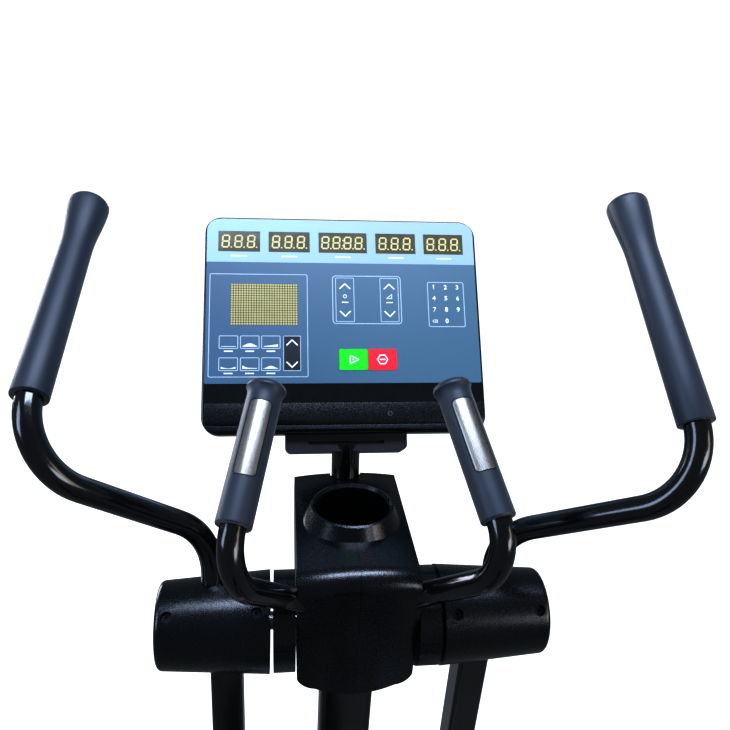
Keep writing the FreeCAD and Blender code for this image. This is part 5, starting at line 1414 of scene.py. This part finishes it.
# ------------------------------------------------------------------ foot plates
@dataclass
class FootTread:
    """Moulded tread of one foot plate. Sizes in millimetres."""

    wardrobe: Wardrobe
    name: str
    ribs: int = 15
    rib_width: float = 5.0
    rib_height: float = 2.6
    rib_sunk: float = 1.0
    rib_edge: float = 1.2
    side_margin: float = 34.0
    end_margin: float = 80.0
    floor_thickness: float = 7.0
    rib_spans: tuple[Point2, ...] = ((-0.5, -0.18), (-0.13, 0.13), (0.18, 0.5))

    def build(self) -> None:
        """Lay bevelled cross ribs in three columns on the plate's floor."""
        place, size = self.floor_frame()
        wide, long = size[0] - self.side_margin, size[1] - self.end_margin
        pieces = []
        for number in range(self.ribs):
            y = -long / 2 + long * number / (self.ribs - 1)
            for start, end in self.rib_spans:
                rib = (wide * (end - start), self.rib_width, self.rib_height + self.rib_sunk)
                centre = (wide * (start + end) / 2, y, (self.rib_height - self.rib_sunk) / 2)
                pieces.append(Bench.slab("tread", rib, centre, self.rib_edge, 2))
        tread = Bench.join(pieces, self.name + "_foot_tread")
        tread.data.transform(place)
        finish_piece(tread, self.wardrobe, "foot_rubber", self.name + "_rail")

    def floor_frame(self) -> tuple[Matrix, Point2]:
        """Frame on the middle of the plate's floor, with Y along the rail, and the plate's size.

        Returns:
            The frame, and the plate's width and length.
        """
        cloud = points_of(self.name + "_foot_plate")
        low, high = cloud.min(0), cloud.max(0)
        rail = points_of(self.name + "_rail_bearing").mean(0) - points_of(self.name + "_link_pin").mean(0)
        forward = -Vector((0.0, rail[1], rail[2])).normalized()
        across = Vector((1.0, 0.0, 0.0))
        up = across.cross(forward)
        along = cloud @ np.array(forward)
        height = cloud @ np.array(up)
        floor = float(height.min()) + mm(self.floor_thickness)
        middle_y = float(along.min() + along.max()) / 2
        middle_x = (low[0] + high[0]) / 2
        base = across * middle_x + forward * middle_y + up * floor
        turn = Matrix((across, forward, up)).transposed().to_4x4()
        size = ((high[0] - low[0]) * 1000.0, float(along.max() - along.min()) * 1000.0)
        return Matrix.Translation(base) @ turn, size


# ------------------------------------------------------------------ studio
@dataclass(frozen=True)
class Lamp:
    """Soft panel light: place, aim, width and height in metres, power in watts and colour."""

    name: str
    place: tuple[float, float, float]
    aim: tuple[float, float, float]
    size: Point2
    power: float
    colour: str

    def hang(self) -> None:
        """Add the panel to the scene."""
        Bench.clear()
        bpy.ops.object.light_add(type="AREA", location=self.place)
        panel = bpy.context.active_object
        panel.name = self.name
        panel.data.shape = "RECTANGLE"
        panel.data.size, panel.data.size_y = self.size
        panel.data.energy = self.power
        panel.data.color = linear(self.colour)[:3]
        panel.visible_camera = False
        panel.rotation_euler = (Vector(self.aim) - Vector(self.place)).to_track_quat("-Z", "Y").to_euler()


@dataclass
class Studio:
    """Pale floor, soft lights and the camera."""

    wardrobe: Wardrobe
    eye: tuple[float, float, float] = (-0.1008, -0.2724, 1.6746)
    yaw: float = 6.74
    pitch: float = -15.52
    roll: float = 1.67
    lens_mm: float = 35.8
    lamps: tuple[Lamp, ...] = (
        Lamp("ceiling_panel", (0.1, 0.2, 3.1), (0.0, 0.62, 1.1), (1.5, 0.5), 52.0, "#c8dcff"),
        Lamp("window_panel", (-2.7, -0.5, 2.5), (0.0, 0.6, 1.2), (1.0, 1.8), 36.0, "#c6dcff"),
        Lamp("lobby_panel", (2.7, -0.9, 1.9), (0.0, 0.6, 1.1), (0.8, 1.4), 10.0, "#fff0da"),
        Lamp("aisle_panel", (3.0, -2.6, 1.6), (0.0, -0.4, 0.5), (1.8, 1.2), 45.0, "#eaf0ff"),
        Lamp("back_panel", (-2.6, 3.2, 1.8), (0.0, 0.3, 0.8), (1.8, 1.2), 60.0, "#eaf0ff"))
    sky: float = 0.16
    sun: float = 3.5
    sun_width: float = 38.0
    floor_size: Point2 = (30.0, 24.0)

    def build(self) -> None:
        """Set the floor, the lights, the world and the camera."""
        self.floor()
        for lamp in self.lamps:
            lamp.hang()
        self.sun_light()
        self.world()
        self.camera()
        bpy.context.scene.view_settings.view_transform = "Standard"
        bpy.context.scene.view_settings.look = "Medium High Contrast"

    def floor(self) -> None:
        """Wide pale floor."""
        Bench.clear()
        bpy.ops.mesh.primitive_plane_add(size=1.0, location=(0.0, 0.0, 0.0))
        bpy.context.active_object.scale = (*self.floor_size, 1.0)
        paper = Bench.settle("studio_floor")
        self.wardrobe.dress(paper, "studio_paper")
        paper.visible_glossy = False

    def sun_light(self) -> None:
        """Broad overhead light that covers the whole floor evenly."""
        Bench.clear()
        tilt = (math.radians(-14.0), math.radians(-16.0), 0.0)
        bpy.ops.object.light_add(type="SUN", location=(0.0, 0.0, 5.0), rotation=tilt)
        lamp = bpy.context.active_object
        lamp.name = "ceiling_light"
        lamp.data.energy = self.sun
        lamp.data.angle = math.radians(self.sun_width)
        lamp.visible_glossy = False

    def world(self) -> None:
        """White surround to look at, dimmer as a light."""
        world = bpy.data.worlds.new("studio_world")
        bpy.context.scene.world = world
        world.use_nodes = True
        tree = world.node_tree
        tree.nodes.clear()
        seen = add_node(tree, "ShaderNodeLightPath").outputs["Is Camera Ray"]
        dim = add_node(tree, "ShaderNodeBackground", {"Color": linear("#dfe9f4"), "Strength": self.sky})
        white = add_node(tree, "ShaderNodeBackground", {"Color": linear("#ffffff"), "Strength": 1.0})
        mixed = add_node(tree, "ShaderNodeMixShader", {0: seen, 1: dim.outputs["Background"],
                                                       2: white.outputs["Background"]})
        add_node(tree, "ShaderNodeOutputWorld", {"Surface": mixed.outputs["Shader"]})

    def camera(self) -> None:
        """Camera at the user's eye, looking ahead and down."""
        yaw, pitch, roll = (math.radians(angle) for angle in (self.yaw, self.pitch, self.roll))
        ahead = Vector((math.sin(yaw) * math.cos(pitch), math.cos(yaw) * math.cos(pitch), math.sin(pitch)))
        level = Vector((math.cos(yaw), -math.sin(yaw), 0.0))
        above = level.cross(ahead)
        right = level * math.cos(roll) + above * math.sin(roll)
        up = above * math.cos(roll) - level * math.sin(roll)
        Bench.clear()
        bpy.ops.object.camera_add()
        lens = bpy.context.active_object
        lens.name = "studio_camera"
        lens.data.lens = self.lens_mm
        lens.data.clip_end = 100.0
        turn = Matrix((right, up, -ahead)).transposed().to_4x4()
        lens.matrix_world = Matrix.Translation(Vector(self.eye)) @ turn
        bpy.context.scene.camera = lens


def main() -> None:
    """Dress the frame, add every piece and set the studio."""
    wardrobe = Wardrobe()
    wardrobe.dress_frame()
    Studio(wardrobe).build()
    panel = PanelPlace.from_frame()
    ConsoleGraphics(wardrobe, panel).build()
    ConsoleBody(wardrobe, panel).build()
    Steelwork(wardrobe).build()
    for name, _ in SIDES:
        MovingGrip(wardrobe, name).build()
        FootTread(wardrobe, name).build()


if __name__ == "__main__":
    main()
